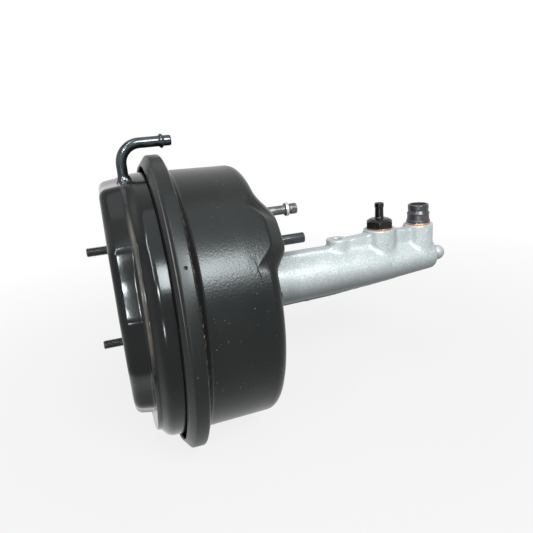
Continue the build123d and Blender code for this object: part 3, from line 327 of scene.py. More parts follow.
def rear_paint():
    """Smooth high-gloss black enamel, with faint waves of about 16 mm left by the pressing and a film of
    pale dirt on the ledge."""
    material, tree, shader, place = started("high_gloss_black_enamel", IOR=1.5, Specular_IOR_Level=0.27,
                                            Specular_Tint=colour(GLOSS_TINT))
    wave = grain(tree, place, 16.0, 1.0)
    haze = grain(tree, place, 25.0, 4.0)
    base = ramp(tree, haze, [(0.35, "#050505"), (0.75, "#0a0a0a")])
    along = add(tree, "ShaderNodeVectorMath", {0: place}, operation="DOT_PRODUCT", in_1=RING_PLANE)
    film = band(tree, along.outputs["Value"], LEDGE_MIDDLE, LEDGE_REACH)
    film = add(tree, "ShaderNodeMath", {0: film, 1: mapped(tree, haze, 0.35, 0.65, 0.0, 0.6)},
               operation="MULTIPLY").outputs[0]
    tree.links.new(mixed(tree, film, base, "#56524c"), shader.inputs["Base Color"])
    tree.links.new(mapped(tree, haze, 0.3, 0.75, 0.11, 0.18), shader.inputs["Roughness"])
    under = bumped(tree, shader, wave, 0.8, 0.8)
    bumped(tree, shader, grain(tree, place, 2.2, 1.0), 0.05, 0.6, under)
    return material


def cast_paint():
    """Aluminium paint over a sand casting: grain of about 1.2 mm that is darker in the low spots of its relief,
    pale flecks at random as painted glints, and painted shade that darkens the underside."""
    material, tree, shader, place = started("aluminium_painted_casting", Metallic=0.15)
    sand = grain(tree, place, 1.2, 2.0, 0.6)
    cloud = grain(tree, place, 14.0, 3.0)
    painted_glint_noise = grain(tree, place, 0.6, 1.0)
    base = ramp(tree, cloud, [(0.3, "#8a9293"), (0.7, "#989fa0")])
    # Painted glints: pale flecks at random mixed into the base colour.
    base_with_painted_light = mixed(tree, mapped(tree, painted_glint_noise, 0.55, 0.75, 0.0, 0.5), base, "#cdd4d7")
    # Painted shade: the base colour darkens towards the underside.
    height = add(tree, "ShaderNodeSeparateXYZ", {0: place}).outputs[2]
    base_with_painted_light = mixed(tree, mapped(tree, height, -0.006, -0.026, 0.0, 0.9), base_with_painted_light, "#454b4a")
    tree.links.new(mixed(tree, mapped(tree, sand, 0.42, 0.30, 0.0, 0.4), base_with_painted_light, "#6c7376"),
                   shader.inputs["Base Color"])
    tree.links.new(mapped(tree, sand, 0.3, 0.7, 0.46, 0.34), shader.inputs["Roughness"])
    under = bumped(tree, shader, cloud, 0.3, 0.6)
    bumped(tree, shader, sand, 0.30, 1.0, under)
    return material


def simple_metal(name, dark, light, metallic, roughness, spread, size_mm=8.0, relief=0.02, collar=None,
                 **values):
    """Metal whose colour and roughness drift over a few millimetres, with fine relief; a collar at a place
    along X can be bare."""
    material, tree, shader, place = started(name, Metallic=metallic, **values)
    drift = grain(tree, place, size_mm, 4.0, 0.6)
    base = ramp(tree, drift, [(0.3, dark), (0.7, light)])
    if collar:
        along = add(tree, "ShaderNodeSeparateXYZ", {0: place}).outputs[0]
        base = mixed(tree, band(tree, along, collar, 0.0024), base, "#b4b3aa")
    tree.links.new(base, shader.inputs["Base Color"])
    tree.links.new(mapped(tree, drift, 0.3, 0.7, roughness - spread, roughness + spread),
                   shader.inputs["Roughness"])
    bumped(tree, shader, grain(tree, place, 1.2, 2.0), relief, 0.6)
    return material


finish = {
    # Phosphated stud steel, dark and dry with worn thread crests.
    "dark_steel": simple_metal("phosphated_steel", "#2c2e2e", "#4a4d4b", 0.7, 0.36, 0.08, 3.0, 0.06),
    # Bare zinc-chromate pressings inside the booster.
    "inner_steel": simple_metal("zinc_plated_pressing", "#a49a74", "#bdb48e", 1.0, 0.36, 0.06, 12.0),
    # Oiled spring wire.
    "spring_steel": simple_metal("oiled_spring_wire", "#5c5e60", "#7a7c7e", 1.0, 0.32, 0.05, 5.0),
    # Bright zinc on turned rods and nuts.
    "zinc_steel": simple_metal("bright_zinc_plate", "#a9abad", "#c6c8ca", 1.0, 0.28, 0.06, 4.0),
    # Black electroplate over drawn tube: mirror-like dark metal.
    "black_plated_pipe": simple_metal("black_plated_tube", "#33383a", "#474d4f", 0.9, 0.17, 0.04, 6.0, 0.02),
    # Black oxide and lacquer on hexagon bar.
    "black_oxide_steel": simple_metal("lacquered_black_steel", "#060606", "#0e0e0c", 0.0, 0.16, 0.04, 5.0, 0.02,
                                      Specular_IOR_Level=0.3),
    # Grey oxide on a turned adaptor.
    "grey_oxide_steel": simple_metal("grey_oxide_steel", "#323337", "#4a4b4f", 0.6, 0.32, 0.06, 4.0, 0.03),
    # Annealed copper washers.
    "copper": simple_metal("annealed_copper", "#b77a55", "#d99f7c", 0.85, 0.34, 0.06, 3.0, 0.03),
    # Turned aluminium pistons.
    "piston_aluminium": simple_metal("turned_aluminium", "#b9babb", "#d0d1d2", 1.0, 0.25, 0.05, 5.0),
    # Moulded rubber, matt with a faint bloom.
    "rubber": simple_metal("moulded_rubber", "#171717", "#232322", 0.0, 0.62, 0.08, 6.0, 0.03),
    # Black phenolic moulding of the valve body.
    "moulded_plastic": simple_metal("phenolic_moulding", "#1b1b1b", "#262524", 0.0, 0.45, 0.06, 8.0, 0.02),
    # Grey wool felt of the air filter.
    "felt": simple_metal("wool_felt", "#6a655c", "#8a8478", 0.0, 0.95, 0.03, 1.5, 0.3),
    "textured_black_paint": front_paint(),
    "gloss_black_paint": rear_paint(),
    "silver_painted_casting": cast_paint(),
}
for part in frame["record"]["subparts"]:
    node_mesh = nodes[part["node"]].data
    node_mesh.materials.clear()
    node_mesh.materials.append(finish[part["material_slot"]])


# Shells

def shell_grid(name, rows):
    """Pressed skin from the (x, radius) points of a profile at each angle."""
    angles = np.linspace(0, 2 * math.pi, len(rows), endpoint=False)
    x = rows[:, :, 0]
    radius = rows[:, :, 1]
    points = np.stack([x, -radius * np.cos(angles)[:, None], radius * np.sin(angles)[:, None]], -1)
    points = leaned(points, (9, 15), (60, 100))
    count = rows.shape[1]
    obj = made(name, points.reshape(-1, 3), grid_faces(len(rows), count, True, False), closed=False)
    return obj


def walled(obj, thickness, outwards_at):
    """Gives an open skin its wall; outwards_at is a point that its outer side faces."""
    mesh = obj.data
    target = Vector(outwards_at) * 0.001 - Vector((0, 0, AXIS_DROP * 0.001))
    nearest = min(mesh.polygons, key=lambda polygon: (polygon.center - target).length)
    if nearest.normal.dot(target - nearest.center) < 0:
        mesh.flip_normals()
    modifier = obj.modifiers.new("wall", "SOLIDIFY")
    modifier.thickness = thickness * 0.001
    modifier.offset = -1
    modifier.use_even_offset = True
    return finished(obj)


def divided(line, longest):
    """Line with extra points so that no run is longer than longest."""
    out = [line[0]]
    for start, end in zip(line, line[1:]):
        count = max(1, int(math.ceil(np.linalg.norm(end - start) / longest)))
        for step in range(1, count + 1):
            out.append(start + (end - start) * step / count)
    return np.array(out)


CUP_FACE = 121.0
CUP_WALL = 117.5
LOBE_RISE = 12.0
FACE_INNER = 96.0
SPIGOT_HOLE = 20.1
SHOULDER = 119.5
RING_RADIUS = 133.0
RING_REAR, RING_FRONT = 41.5, 51.4
FLANGE_REAR = 39.0
RING_LEAN = 3.0
LEAN_TOWARDS = math.radians(40)
# Drain hole through the ring: place along X, degrees above -Y, radius.
DRAIN_HOLE = (49.5, 28, 1.5)
FRONT_SHEET, REAR_SHEET = 2.0, 1.9


def leaned(points, starts, ends):
    """Points with the joint's planes leaning forward at the near top, faded out before starts and past ends."""
    x, y, z = points[..., 0], points[..., 1], points[..., 2]
    reach = (-y * math.cos(LEAN_TOWARDS) + z * math.sin(LEAN_TOWARDS)) / 125.0
    share = smoothstep((x - starts[0]) / (starts[1] - starts[0]))
    share = share * smoothstep((ends[1] - x) / (ends[1] - ends[0]))
    points[..., 0] = x + RING_LEAN * reach * share
    return points


def lobe_share(y, z):
    """1 on top of the raised lobe, 0 outside it, with soft sides 10 to 30 mm wide."""
    out_inner = y + 8.0
    out_low = (42.0 - z) * 0.34
    out_high = (z - 83.0) * 0.6
    out_corner = 2.25 - ((y + 80.0) * 15.4 + (z - 36.0) * 12.7) / 40.0
    away = smooth_union(-out_inner, -out_low, 12.0)
    away = smooth_union(away, -out_high, 12.0)
    away = -smooth_union(away, -out_corner, 12.0)
    return smoothstep(1.0 - (away + 0.5) / 10.0)


def front_skin():
    """Cup, joint ring and lobe as one pressed skin."""
    rim = [(35.6, 125.2), (RING_REAR, RING_RADIUS), (RING_FRONT, RING_RADIUS), (57.3, CUP_WALL + 1),
           (98, CUP_WALL)]
    plain = rim + [(103, 117.35), (CUP_FACE, 117), (CUP_FACE, FACE_INNER)]
    raised = rim + [(119.5, 116.2), (CUP_FACE + LOBE_RISE, 106), (CUP_FACE + LOBE_RISE, FACE_INNER)]
    line = rounded(plain, [0, 2.2, 1.8, 2.5, 0, 3, 13, 0], closed=False, steps=5)
    other = rounded(raised, [0, 2.2, 1.8, 2.5, 0, 5, 4.5, 0], closed=False, steps=5)
    face = np.linspace(FACE_INNER, SPIGOT_HOLE, 50)[1:]
    line = np.vstack([line, np.column_stack([np.full(len(face), CUP_FACE), face])])
    other = np.vstack([other, np.column_stack([np.full(len(face), CUP_FACE + LOBE_RISE), face])])
    both = divided(np.hstack([line, other]), 4.5)
    line, other = both[:, :2], both[:, 2:]
    angles = np.linspace(0, 2 * math.pi, 384, endpoint=False)
    y = -line[None, :, 1] * np.cos(angles)[:, None]
    z = line[None, :, 1] * np.sin(angles)[:, None]
    share = lobe_share(y, z)[:, :, None]
    return line[None] * (1 - share) + other[None] * share


def drilled(obj, reach, x, degrees, radius):
    """Drills a round hole through a wall that stands at reach from the axis."""
    bpy.ops.mesh.primitive_cylinder_add(vertices=32, radius=radius * 0.001, depth=0.012)
    bit = bpy.context.object
    angle = math.radians(degrees)
    bit.location = shared([(x, -reach * math.cos(angle), reach * math.sin(angle))])[0]
    bit.rotation_euler = (math.pi / 2 - angle, 0, 0)
    cut = obj.modifiers.new("hole", "BOOLEAN")
    cut.operation = "DIFFERENCE"
    cut.solver = "EXACT"
    cut.object = bit
    bpy.context.view_layer.update()
    finished(obj)
    bpy.data.objects.remove(bit)


front = walled(shell_grid("front_shell_pressing", front_skin()), FRONT_SHEET, (90, -200, 0))
drilled(front, RING_RADIUS, *DRAIN_HOLE)
dressed(front, finish["textured_black_paint"], "booster", "textured_black_paint", "front_shell")

PLATFORM_CORNERS = [71, 36, 7, -16, -42, -66, -90]
PLATFORM_RADIUS = 107.5
PLATFORM_RISE = 12.0
FACET_HOLLOW = 1.1


def facet_hollow(line, corners):
    """How far each point of the platform's outline is pulled in, most at the middle of its facet."""
    around = np.mod(np.degrees(np.arctan2(line[:, 1], -line[:, 0])), 360)
    ends = np.sort(np.mod(corners, 360))
    ends = np.concatenate([ends, ends[:1] + 360])
    around = np.where(around < ends[0], around + 360, around)
    facet = np.clip(np.searchsorted(ends, around, side="right") - 1, 0, len(ends) - 2)
    share = (around - ends[facet]) / (ends[facet + 1] - ends[facet])
    return FACET_HOLLOW * np.sin(np.pi * np.clip(share, 0, 1)) ** 2


def platform_radius(angles, shrink):
    """Distance from the axis to the platform's outline at each angle above -Y."""
    corners = PLATFORM_CORNERS + [180 - a for a in PLATFORM_CORNERS[-2::-1]]
    outline = []
    for a in corners:
        radius = PLATFORM_RADIUS - shrink
        outline.append((-radius * math.cos(math.radians(a)), radius * math.sin(math.radians(a))))
    bends = [12 if math.sin(math.radians(a)) > -0.5 else 30 for a in corners]
    line = rounded(outline, bends, steps=10)
    line = divided(np.vstack([line, line[:1]]), 1.0)
    around = np.unwrap(np.arctan2(line[:, 1] + PLATFORM_RISE, -line[:, 0]))
    reach = np.hypot(line[:, 0], line[:, 1] + PLATFORM_RISE) - facet_hollow(line, corners)
    order = np.argsort(np.mod(around, 2 * math.pi))
    return np.interp(angles, np.mod(around, 2 * math.pi)[order], reach[order], period=2 * math.pi)


def rear_skin():
    """Well, faceted platform, ledge, shoulder and clamped flange as one pressed skin."""
    angles = np.linspace(0, 2 * math.pi, 432, endpoint=False)
    top = platform_radius(angles, 2.5)
    foot = platform_radius(angles, 0.0)
    rows = []
    for near, far in zip(top, foot):
        ledge = -smooth_union(-far - 0.6, -111.5, 5.0)
        wall = max(SHOULDER, ledge + 0.4)
        outline = [(50, 19.6), (50, 23), (0, 23), (0, near), (14.8, far), (15.2, ledge), (18.6, ledge + 0.2),
                   (24.5, wall - 0.7), (FLANGE_REAR + 1, wall), (FLANGE_REAR + 1, 129)]
        line = rounded(outline, [0, 1, 1.6, 7, 2.0, 1.2, 2.5, 9, 1.5, 0], closed=False, steps=5)
        rows.append(line)
    rows = np.array(rows)
    # Every angle's profile is divided at once, so that each keeps the same number of points.
    flat = rows.transpose(1, 0, 2).reshape(rows.shape[1], -1)
    flat = divided(flat, 5.0 * math.sqrt(len(angles)))
    return flat.reshape(len(flat), len(angles), 2).transpose(1, 0, 2)


rear = walled(shell_grid("rear_shell_pressing", rear_skin()), REAR_SHEET, (-60, -60, 0))
dressed(rear, finish["gloss_black_paint"], "booster", "gloss_black_paint", "rear_shell")


# Pipes and studs

def threaded(name, rear_end, front_end, radius, depth, pitch, y, z, plain_from=None):
    """Round bar with a rolled thread, its ends chamfered."""
    segments = 40
    count = int((front_end - rear_end) / pitch * 8)
    x = np.linspace(rear_end, front_end, count + 1)
    angles = np.linspace(0, 2 * math.pi, segments, endpoint=False)
    phase = x[:, None] / pitch - angles[None, :] / (2 * math.pi)
    tooth = np.abs(phase - np.round(phase)) * 2
    tooth = smoothstep(tooth * 1.3 - 0.15)
    cut = depth * tooth
    if plain_from is not None:
        cut = cut * smoothstep((plain_from - x) / pitch)[:, None]
    ends = np.minimum(x - rear_end, front_end - x)
    limit = radius - np.clip(0.9 - ends, 0, 0.9)
    reach = np.minimum(radius - cut, limit[:, None])
    points = np.stack([np.repeat(x[:, None], segments, 1), -reach * np.cos(angles), reach * np.sin(angles)], -1)
    points = points.reshape(-1, 3) + np.array([0, y, z])
    points = np.vstack([points, [[rear_end, y, z], [front_end, y, z]]])
    faces = grid_faces(count + 1, segments, False)
    low, high = len(points) - 2, len(points) - 1
    last = count * segments
    for j in range(segments):
        across = (j + 1) % segments
        faces.append((j, low, across))
        faces.append((last + j, last + across, high))
    return made(name, points, faces, 50.0)


def repeat_tree():
    """Node tree that repeats a piece along a straight line and gives it its finish."""
    tree = bpy.data.node_groups.new("repeat_along_line", "GeometryNodeTree")
    for label, kind in (("Geometry", "Geometry"), ("Count", "Int"), ("First", "Vector"), ("Step", "Vector"),
                        ("Finish", "Material")):
        tree.interface.new_socket(label, in_out="INPUT", socket_type="NodeSocket" + kind)
    tree.interface.new_socket("Geometry", in_out="OUTPUT", socket_type="NodeSocketGeometry")
    given = add(tree, "NodeGroupInput").outputs
    line = add(tree, "GeometryNodeMeshLine", {"Count": given["Count"], "Start Location": given["First"],
                                              "Offset": given["Step"]})
    copies = add(tree, "GeometryNodeInstanceOnPoints", {"Points": line.outputs[0],
                                                        "Instance": given["Geometry"]})
    real = add(tree, "GeometryNodeRealizeInstances", {"Geometry": copies.outputs[0]})
    painted = add(tree, "GeometryNodeSetMaterial", {"Geometry": real.outputs[0],
                                                    "Material": given["Finish"]})
    add(tree, "NodeGroupOutput", {"Geometry": painted.outputs[0]})
    return tree


repeats = repeat_tree()


def pair(piece, name, first, step, slot, node):
    """Two of a piece that was made at the axis, the first moved by first and the second a step on."""
    modifier = piece.modifiers.new("repeat", "NODES")
    modifier.node_group = repeats
    wanted = {"Count": 2, "First": [v * 0.001 for v in first], "Step": [v * 0.001 for v in step],
              "Finish": finish[slot]}
    for item in repeats.interface.items_tree:
        if item.in_out == "INPUT" and item.name in wanted:
            modifier[item.identifier] = wanted[item.name]
    finished(piece).name = name
    return dressed(piece, finish[slot], "booster", slot, node)


shank = threaded("stud", -18.5, 1.5, 4.0, 0.62, 1.25, 0, 0, plain_from=-1.2)
head = lathe("head", [(0.4, 0), (0.4, 4.65), (2, 4.65), (2, 5.8), (5, 5.8), (5, 0)], [0, 0, 0, 0, 0.8, 0], 48)
pair(joined("rear_stud", [shank, head]), "rear_stud_pair", (0, 0, PLATFORM_RISE - 44), (0, 0, 88),
     "dark_steel", "rear_mounting_studs")


def bent_tube(name, path, outer, inner, segments=56):
    """Tube in the middle plane along (x, z) points, with an outer and an inner radius at each."""
    ahead = np.gradient(path, axis=0)
    ahead /= np.linalg.norm(ahead, axis=1)[:, None]
    side = np.column_stack([-ahead[:, 1], ahead[:, 0]])
    path = np.vstack([path, path[::-1]])
    side = np.vstack([side, side[::-1]])
    radii = np.concatenate([outer, inner[::-1]])
    angles = np.linspace(0, 2 * math.pi, segments, endpoint=False)
    x = path[:, :1] + side[:, :1] * radii[:, None] * np.cos(angles)
    z = path[:, 1:] + side[:, 1:] * radii[:, None] * np.cos(angles)
    y = radii[:, None] * np.sin(angles)
    points = np.stack([x, y, z], -1).reshape(-1, 3)
    return made(name, points, grid_faces(len(path), segments, True), 40.0)


def elbow():
    """Elbow vacuum pipe: brazed foot, one bend and a rolled hose bead."""
    line = rounded([(22, 108), (22, 144), (66, 144)], [0, 17, 0], closed=False, steps=18)
    line = divided(line, 0.6)
    runs = np.concatenate([[0], np.cumsum(np.linalg.norm(np.diff(line, axis=0), axis=1))])
    to_end = runs[-1] - runs
    outer = np.full(len(line), 4.5)
    outer += 2.6 * np.clip((12.0 - runs) / 8.0, 0, 1) ** 2
    bead = np.clip(1 - np.abs(to_end - 8.4) / 2.3, 0, 1)
    outer += 1.6 * smoothstep(bead * 1.25)
    outer -= 0.5 * np.clip(1 - to_end / 0.8, 0, 1)
    inner = np.full(len(line), 3.4) + 0.3 * np.clip(1 - to_end / 0.6, 0, 1)
    return bent_tube("elbow_vacuum_pipe", line, outer, inner)


dressed(elbow(), finish["black_plated_pipe"], "booster", "black_plated_pipe", "rear_vacuum_pipe")

nipple = lathe("lobe_vacuum_nipple", [
    (129, 3.0), (129, 4.2), (133, 4.2), (133, 7.5), (134.5, 6.6), (135.5, 4.2), (157.8, 4.2), (158.6, 6.1),
    (161.4, 6.1), (162.2, 4.2), (162.8, 4.2), (164, 4.9), (169.5, 4.9), (169.5, 3.0)],
    [0, 0, 0.3, 0.5, 0.6, 1.0, 0.4, 0.6, 0.6, 0.4, 0.3, 0.8, 0.5, 0.3], 64, -20, 74)
# Phosphated tube with a bare collar.
nipple_steel = simple_metal("phosphated_nipple", "#3e4241", "#5e6260", 0.7, 0.34, 0.06, 3.0, 0.05, NIPPLE_COLLAR)
dressed(nipple, nipple_steel, "booster", "dark_steel", "front_vacuum_pipe")
stub = lathe("lobe_stub_pipe", [
    (129, 3.7), (129, 4.8), (133, 4.8), (133, 7.5), (134.5, 6.6), (135.5, 4.8), (171.5, 4.8), (171.5, 3.7)],
    [0, 0, 0.3, 0.5, 0.6, 1.0, 0.4, 0.3], 64, -30, 48)
dressed(stub, finish["black_plated_pipe"], "booster", "black_plated_pipe", "front_stub_pipe")


# Master cylinder casting

OUTLET, FEED, FRONT = 219.3, 268.3, 314.8
VOXEL = 0.0011
# Place, radius, height, thread radius and thread depth of each boss.
BOSSES = [(OUTLET, 10.6, 33, 5.0, 14), (FEED, 16.3, 37, 9.0, 13), (FRONT, 15.1, 36, 9.0, 13)]


def casting_distance(p):
    """Distance to the casting's skin, negative inside; its parts meet in soft cast fillets."""
    x, y, z = p[:, 0], p[:, 1], p[:, 2]
    around = np.hypot(y, z)
    line = rounded([(100, 26.0), (207, 23.2), (262, 20.6), (326, 15.6)], [0, 60, 60, 0], closed=False)
    slope = (around - np.interp(x, line[:, 0], line[:, 1])) * 0.997
    barrel = -smooth_union(-slope, 331.3 - x, 6.0)
    spigot = np.maximum(around - 20.0, np.maximum(109.5 - x, x - 140))
    reach = np.clip(np.abs(y) / 41.0, 0, 1)
    arm = np.hypot(np.abs(y) - reach * 41.0, z) - (30 - 19 * reach)
    flange = np.maximum(np.minimum(around - 30, arm), x - 132)
    low_web = np.maximum(np.maximum(np.abs(y) - 7, z - 26), x - OUTLET)
    top = np.interp(x, [OUTLET, FEED, FRONT], [31, 34, 32])
    high_web = np.maximum(np.maximum(np.abs(y) - 7, z - top), np.maximum(OUTLET - x, x - FRONT))
    web = np.maximum(np.minimum(low_web, high_web), -z)
    drop = np.interp(x, [CUP_FACE, 207.3, 282.3], [26.8, 24.6, 18.0])
    rib = np.maximum(np.maximum(np.abs(y) - 6.5, -z - drop), np.maximum(z, x - 282.3))
    body = smooth_union(barrel, web, 5.0)
    body = smooth_union(body, rib, 1.5)
    for place, radius, height, _, _ in BOSSES:
        body = smooth_union(body, np.maximum(np.hypot(x - place, y) - radius, -z), 3.2)
    for place, radius, height, _, _ in BOSSES:
        over = np.hypot(x - place, y) < radius + 1.5
        body = np.where(over, np.maximum(body, z - height), body)
    body = np.maximum(smooth_union(body, flange, 5.0), CUP_FACE - x)
    body = np.minimum(body, spigot)
    holes = np.maximum(around - 11.9, x - 318.8)
    holes = np.minimum(holes, np.maximum(around - 6.6, 318 - x))
    for place, _, height, thread, depth in BOSSES:
        holes = np.minimum(holes, np.maximum(np.hypot(x - place, y) - thread, height - depth - z))
    for side in (-41, 41):
        holes = np.minimum(holes, np.hypot(y - side, z) - 4.2)
    return np.maximum(body, -holes)


def casting():
    """Casting as one soft skin: the CAD solid remeshed, then drawn onto its cast form."""
    source = nodes["master_cylinder_body"].data.copy()
    work = bmesh.new()
    work.from_mesh(source)
    bmesh.ops.remove_doubles(work, verts=work.verts, dist=1e-6)
    work.to_mesh(source)
    work.free()
    obj = bpy.data.objects.new("master_cylinder_casting", source)
    bpy.context.scene.collection.objects.link(obj)
    modifier = obj.modifiers.new("skin", "REMESH")
    modifier.mode = "VOXEL"
    modifier.voxel_size = VOXEL
    finished(obj)
    mesh = obj.data
    work = bmesh.new()
    work.from_mesh(mesh)
    for turn in range(4):
        points = np.array([v.co for v in work.verts]) * 1000
        points[:, 2] += AXIS_DROP
        for _ in range(3):
            here = casting_distance(points)
            slopes = np.stack([(casting_distance(points + step) - casting_distance(points - step)) / 0.2
                               for step in np.eye(3) * 0.1], -1)
            size = np.maximum((slopes ** 2).sum(1), 0.3)
            move = -(here / size)[:, None] * slopes
            points = points + np.clip(move, -1.0, 1.0)
        points[:, 2] -= AXIS_DROP
        for vertex, point in zip(work.verts, points * 0.001):
            vertex.co = point
        if turn < 3:
            bmesh.ops.smooth_vert(work, verts=work.verts, factor=0.5, use_axis_x=True, use_axis_y=True,
                                  use_axis_z=True)
    work.to_mesh(mesh)
    work.free()
    mesh.shade_smooth()
    mesh.set_sharp_from_angle(angle=math.radians(50))
    return obj


dressed(casting(), finish["silver_painted_casting"], "booster", "silver_painted_casting",
        "master_cylinder_body")

dome = [(338.8 - 8.0 * math.cos(a), 8.0 * math.sin(a)) for a in np.linspace(math.radians(60), math.pi, 26)]
plug = lathe("domed_end_plug", [(318.8, 0), (318.8, 6.5), (334.3, 6.5), (334.6, 6.7)] + dome, [0] * 30, 72)
dressed(plug, finish["silver_painted_casting"], "booster", "silver_painted_casting", "end_plug")


# Studs, washers and nuts of the flange

def hexagon_radius(angles, across_flats, corner_bend):
    """Distance from the middle to a hexagon with rounded corners."""
    corner = across_flats / math.sqrt(3)
    outline = [(corner * math.cos(a), corner * math.sin(a)) for a in np.arange(6) * math.pi / 3]
    line = rounded(outline, [corner_bend] * 6, steps=5)
    line = divided(np.vstack([line, line[:1]]), 0.4)
    around = np.mod(np.arctan2(line[:, 1], line[:, 0]), 2 * math.pi)
    order = np.argsort(around)
    return np.interp(angles, around[order], np.hypot(line[:, 0], line[:, 1])[order], period=2 * math.pi)


def hexagon(height, across_flats, hole, crown, dome, corner_bend):
    """Points and faces of a hexagonal block along X with a round hole; its top rises by dome to the crown."""
    segments = 192
    angles = np.linspace(0, 2 * math.pi, segments, endpoint=False)
    flat = across_flats / 2 - 0.5
    rows = []
    for radius in hexagon_radius(angles, across_flats, corner_bend):
        corner = height - dome - (radius - flat) * math.tan(math.radians(30))
        outline = [(0, hole), (0, radius - 0.3), (0.3, radius), (corner, radius), (height - dome * 0.3, crown),
                   (height, hole + 1), (height, hole)]
        rows.append(rounded(outline, [0, 0, 0.2, 0.9, 2.5, 0.4, 0.2], steps=3))
    rows = np.array(rows)
    points = np.stack([rows[:, :, 0], -rows[:, :, 1] * np.cos(angles)[:, None],
                       rows[:, :, 1] * np.sin(angles)[:, None]], -1)
    return points.reshape(-1, 3), grid_faces(segments, rows.shape[1], True)


FLANGE_FACE = 132.0
points, faces = hexagon(6.5, 13.0, 4.1, 6.0, 0.2, 0.8)
nut = made("nut", points + np.array([FLANGE_FACE + 1.6, 0, AXIS_DROP]), faces)
washer = lathe("washer", [(FLANGE_FACE, 4.2), (FLANGE_FACE, 8), (FLANGE_FACE + 1.6, 8), (FLANGE_FACE + 1.6, 4.2)],
               [0.2, 0.3, 0.3, 0.2], 64, 0, AXIS_DROP)
stud = threaded("stud", 117.0, 143.0, 4.0, 0.6, 1.25, 0, AXIS_DROP)
for piece, name, slot, node in ((stud, "flange_stud_pair", "dark_steel", "cylinder_studs"),
                                (washer, "flange_washer_pair", "zinc_steel", "cylinder_washers"),
                                (nut, "flange_nut_pair", "zinc_steel", "cylinder_nuts")):
    pair(piece, name, (0, -41, -AXIS_DROP), (0, 82, 0), slot, node)


# Adaptors on the bosses

def washer_of_copper(name, x, base):
    return lathe(name, [(base, 9.1), (base, 12.4), (base + 1.5, 12.4), (base + 1.5, 9.1)],
                 [0.2, 0.55, 0.55, 0.2], 96, upright_at=x)


dressed(washer_of_copper("feed_boss_washer", FEED, 37), finish["copper"], "booster", "copper",
        "feed_copper_washer")
dressed(washer_of_copper("front_boss_washer", FRONT, 36), finish["copper"], "booster", "copper",
        "front_copper_washer")

points, faces = hexagon(9.6, 25.4, 4.25, 9.4, 2.2, 1.4)
points = np.column_stack([FEED + points[:, 1], points[:, 2], 38.5 + points[:, 0]])
head = made("head", points, faces)
shank = lathe("shank", [(25, 3.1), (25, 8.9), (38.6, 8.9), (38.6, 3.1)], [0, 0.6, 0, 0], 64, upright_at=FEED)
dressed(joined("hexagon_adaptor", [head, shank]), finish["black_oxide_steel"], "booster", "black_oxide_steel",
        "feed_hex_adaptor")
tube = lathe("feed_pipe", [(44.1, 3.1), (44.1, 4.25), (48, 4.25), (48, 5.3), (49.2, 4.4), (58.4, 4.2), (59.5, 4.7),
                           (63.5, 4.7), (63.5, 3.1)], [0, 0, 0.2, 0.4, 1.0, 0.6, 0.6, 0.5, 0.4], 64,
             upright_at=FEED)
dressed(tube, finish["black_oxide_steel"], "booster", "black_oxide_steel", "feed_tube")
adaptor = lathe("front_hose_union", [
    (24, 6.5), (24, 8.9), (37.5, 8.9), (37.5, 12.2), (39.7, 12.2), (40.3, 11.5), (45.8, 11.1), (46.8, 11.8),
    (48.4, 10.9), (50.4, 10.1), (51.4, 10.6), (55.7, 10.6), (56.5, 9.9), (56.5, 8.2), (50.5, 8.2), (50.5, 6.5)],
    [0, 0.6, 0, 0.5, 0.6, 0.6, 0.8, 0.8, 0.8, 0.8, 0.8, 0.8, 0.4, 0.4, 0.3, 0.3], 96, upright_at=FRONT)
dressed(adaptor, finish["grey_oxide_steel"], "booster", "grey_oxide_steel", "front_hose_adaptor")


# Floor, background, light and camera

def seen_share(tree):
    """1 for rays from the camera and for reflected and refracted rays, 0 for the light that fills shadows."""
    path = add(tree, "ShaderNodeLightPath").outputs
    share = add(tree, "ShaderNodeMath", {0: path["Is Camera Ray"], 1: path["Is Glossy Ray"]},
                operation="MAXIMUM").outputs[0]
    return add(tree, "ShaderNodeMath", {0: share, 1: path["Is Transmission Ray"]},
               operation="MAXIMUM").outputs[0]


FLOOR_SIZE, FLOOR_HEIGHT = 6.0, -0.1456


def floor_and_world():
    """Pale floor that keeps the object's shadow and fades to white, under a white surround."""
    size, low = FLOOR_SIZE, FLOOR_HEIGHT
    mesh = bpy.data.meshes.new("floor")
    mesh.from_pydata([(-size, -size, low), (size, -size, low), (size, size, low), (-size, size, low)], [],
                     [(0, 1, 2, 3)])
    floor = bpy.data.objects.new("floor", mesh)
    bpy.context.scene.collection.objects.link(floor)
    material = bpy.data.materials.new("pale_floor")
    material.use_nodes = True
    tree = material.node_tree
    tree.nodes.clear()
    place = add(tree, "ShaderNodeTexCoord").outputs["Object"]
    away = add(tree, "ShaderNodeVectorMath", {0: place}, operation="DISTANCE")
    away.inputs[1].default_value = (0.15, 0, 0)
    fade = mapped(tree, away.outputs["Value"], 0.25, 0.8, 0.84, 1.0)
    share = add(tree, "ShaderNodeMath", {0: seen_share(tree), 1: fade}, operation="MULTIPLY").outputs[0]
    matt = add(tree, "ShaderNodeBsdfDiffuse")
    matt.inputs[0].default_value = (0.25, 0.25, 0.25, 1)
    glow = add(tree, "ShaderNodeEmission")
    glow.inputs[0].default_value = (1, 1, 1, 1)
    glow.inputs[1].default_value = 1.0
    blend = add(tree, "ShaderNodeMixShader", {0: share, 1: matt.outputs[0], 2: glow.outputs[0]})
    add(tree, "ShaderNodeOutputMaterial", {0: blend.outputs[0]})
    mesh.materials.append(material)

    world = bpy.data.worlds.new("white_surround")
    bpy.context.scene.world = world
    world.use_nodes = True
    tree = world.node_tree
    tree.nodes.clear()
    strength = mapped(tree, seen_share(tree), 0.0, 1.0, 0.05, 1.0)
    sky = add(tree, "ShaderNodeBackground", {1: strength})
    sky.inputs[0].default_value = (1, 1, 1, 1)
    add(tree, "ShaderNodeOutputWorld", {0: sky.outputs[0]})


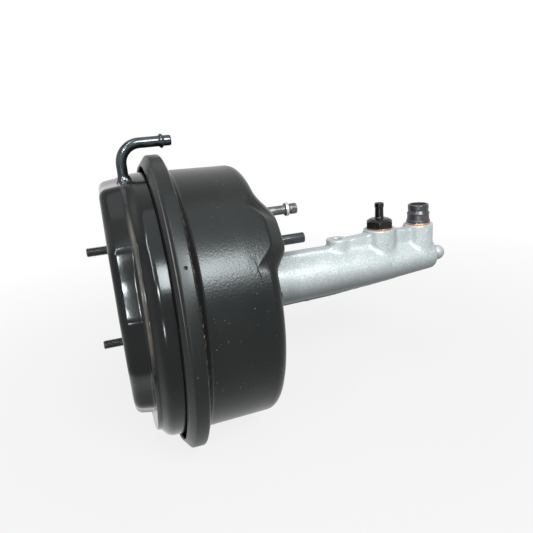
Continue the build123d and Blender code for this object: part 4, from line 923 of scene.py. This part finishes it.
def lamp(name, place, target, size, power):
    """Soft rectangular lamp aimed at a point."""
    data = bpy.data.lights.new(name, "AREA")
    data.shape = "RECTANGLE"
    data.size, data.size_y = size
    data.energy = power
    obj = bpy.data.objects.new(name, data)
    bpy.context.scene.collection.objects.link(obj)
    obj.location = place
    aim = Vector(target) - Vector(place)
    obj.rotation_mode = "QUATERNION"
    obj.rotation_quaternion = aim.to_track_quat("-Z", "Y")


def camera():
    """Camera solved from the photograph's outlines: 500 px focal length on a 533 px frame, with its roll."""
    data = bpy.data.cameras.new("photo_camera")
    data.sensor_width = 36.0
    data.lens = 36.0 * 500.0 / 533.0
    obj = bpy.data.objects.new("photo_camera", data)
    bpy.context.scene.collection.objects.link(obj)
    azimuth, elevation, roll = (math.radians(a) for a in (-16.88, 16.95, 4.62))
    back = Vector((math.sin(azimuth) * math.cos(elevation), -math.cos(azimuth) * math.cos(elevation),
                   math.sin(elevation)))
    right = (-back).cross(Vector((0, 0, 1))).normalized()
    down = (-back).cross(right)
    right, down = (right * math.cos(roll) + down * math.sin(roll),
                   -right * math.sin(roll) + down * math.cos(roll))
    offset = Vector((-134.16, 38.74, 455.02))
    eye = -(right * offset.x + down * offset.y - back * offset.z)
    eye = eye * 0.001 - Vector((0, 0, AXIS_DROP * 0.001))
    turn = Matrix((right, -down, back)).transposed()
    obj.matrix_world = Matrix.Translation(eye) @ turn.to_4x4()
    bpy.context.scene.camera = obj


floor_and_world()
lamp("key", (0.22, -0.88, 0.66), (0.08, 0, 0), (0.44, 0.34), 19.0)
lamp("top", (0.12, -0.40, 1.25), (0.08, 0, 0), (1.20, 1.20), 5.0)
lamp("strip", (-0.45, -0.58, 0.92), (0.0, 0, 0.03), (0.05, 0.80), 7.0)
lamp("side", (-0.33, -0.92, 0.46), (0.01, 0, 0), (0.09, 0.09), 3.8)
lamp("low", (-0.30, -1.00, -0.07), (0.0, 0, 0), (0.10, 0.05), 1.6)
camera()
bpy.context.scene.view_settings.view_transform = "Standard"
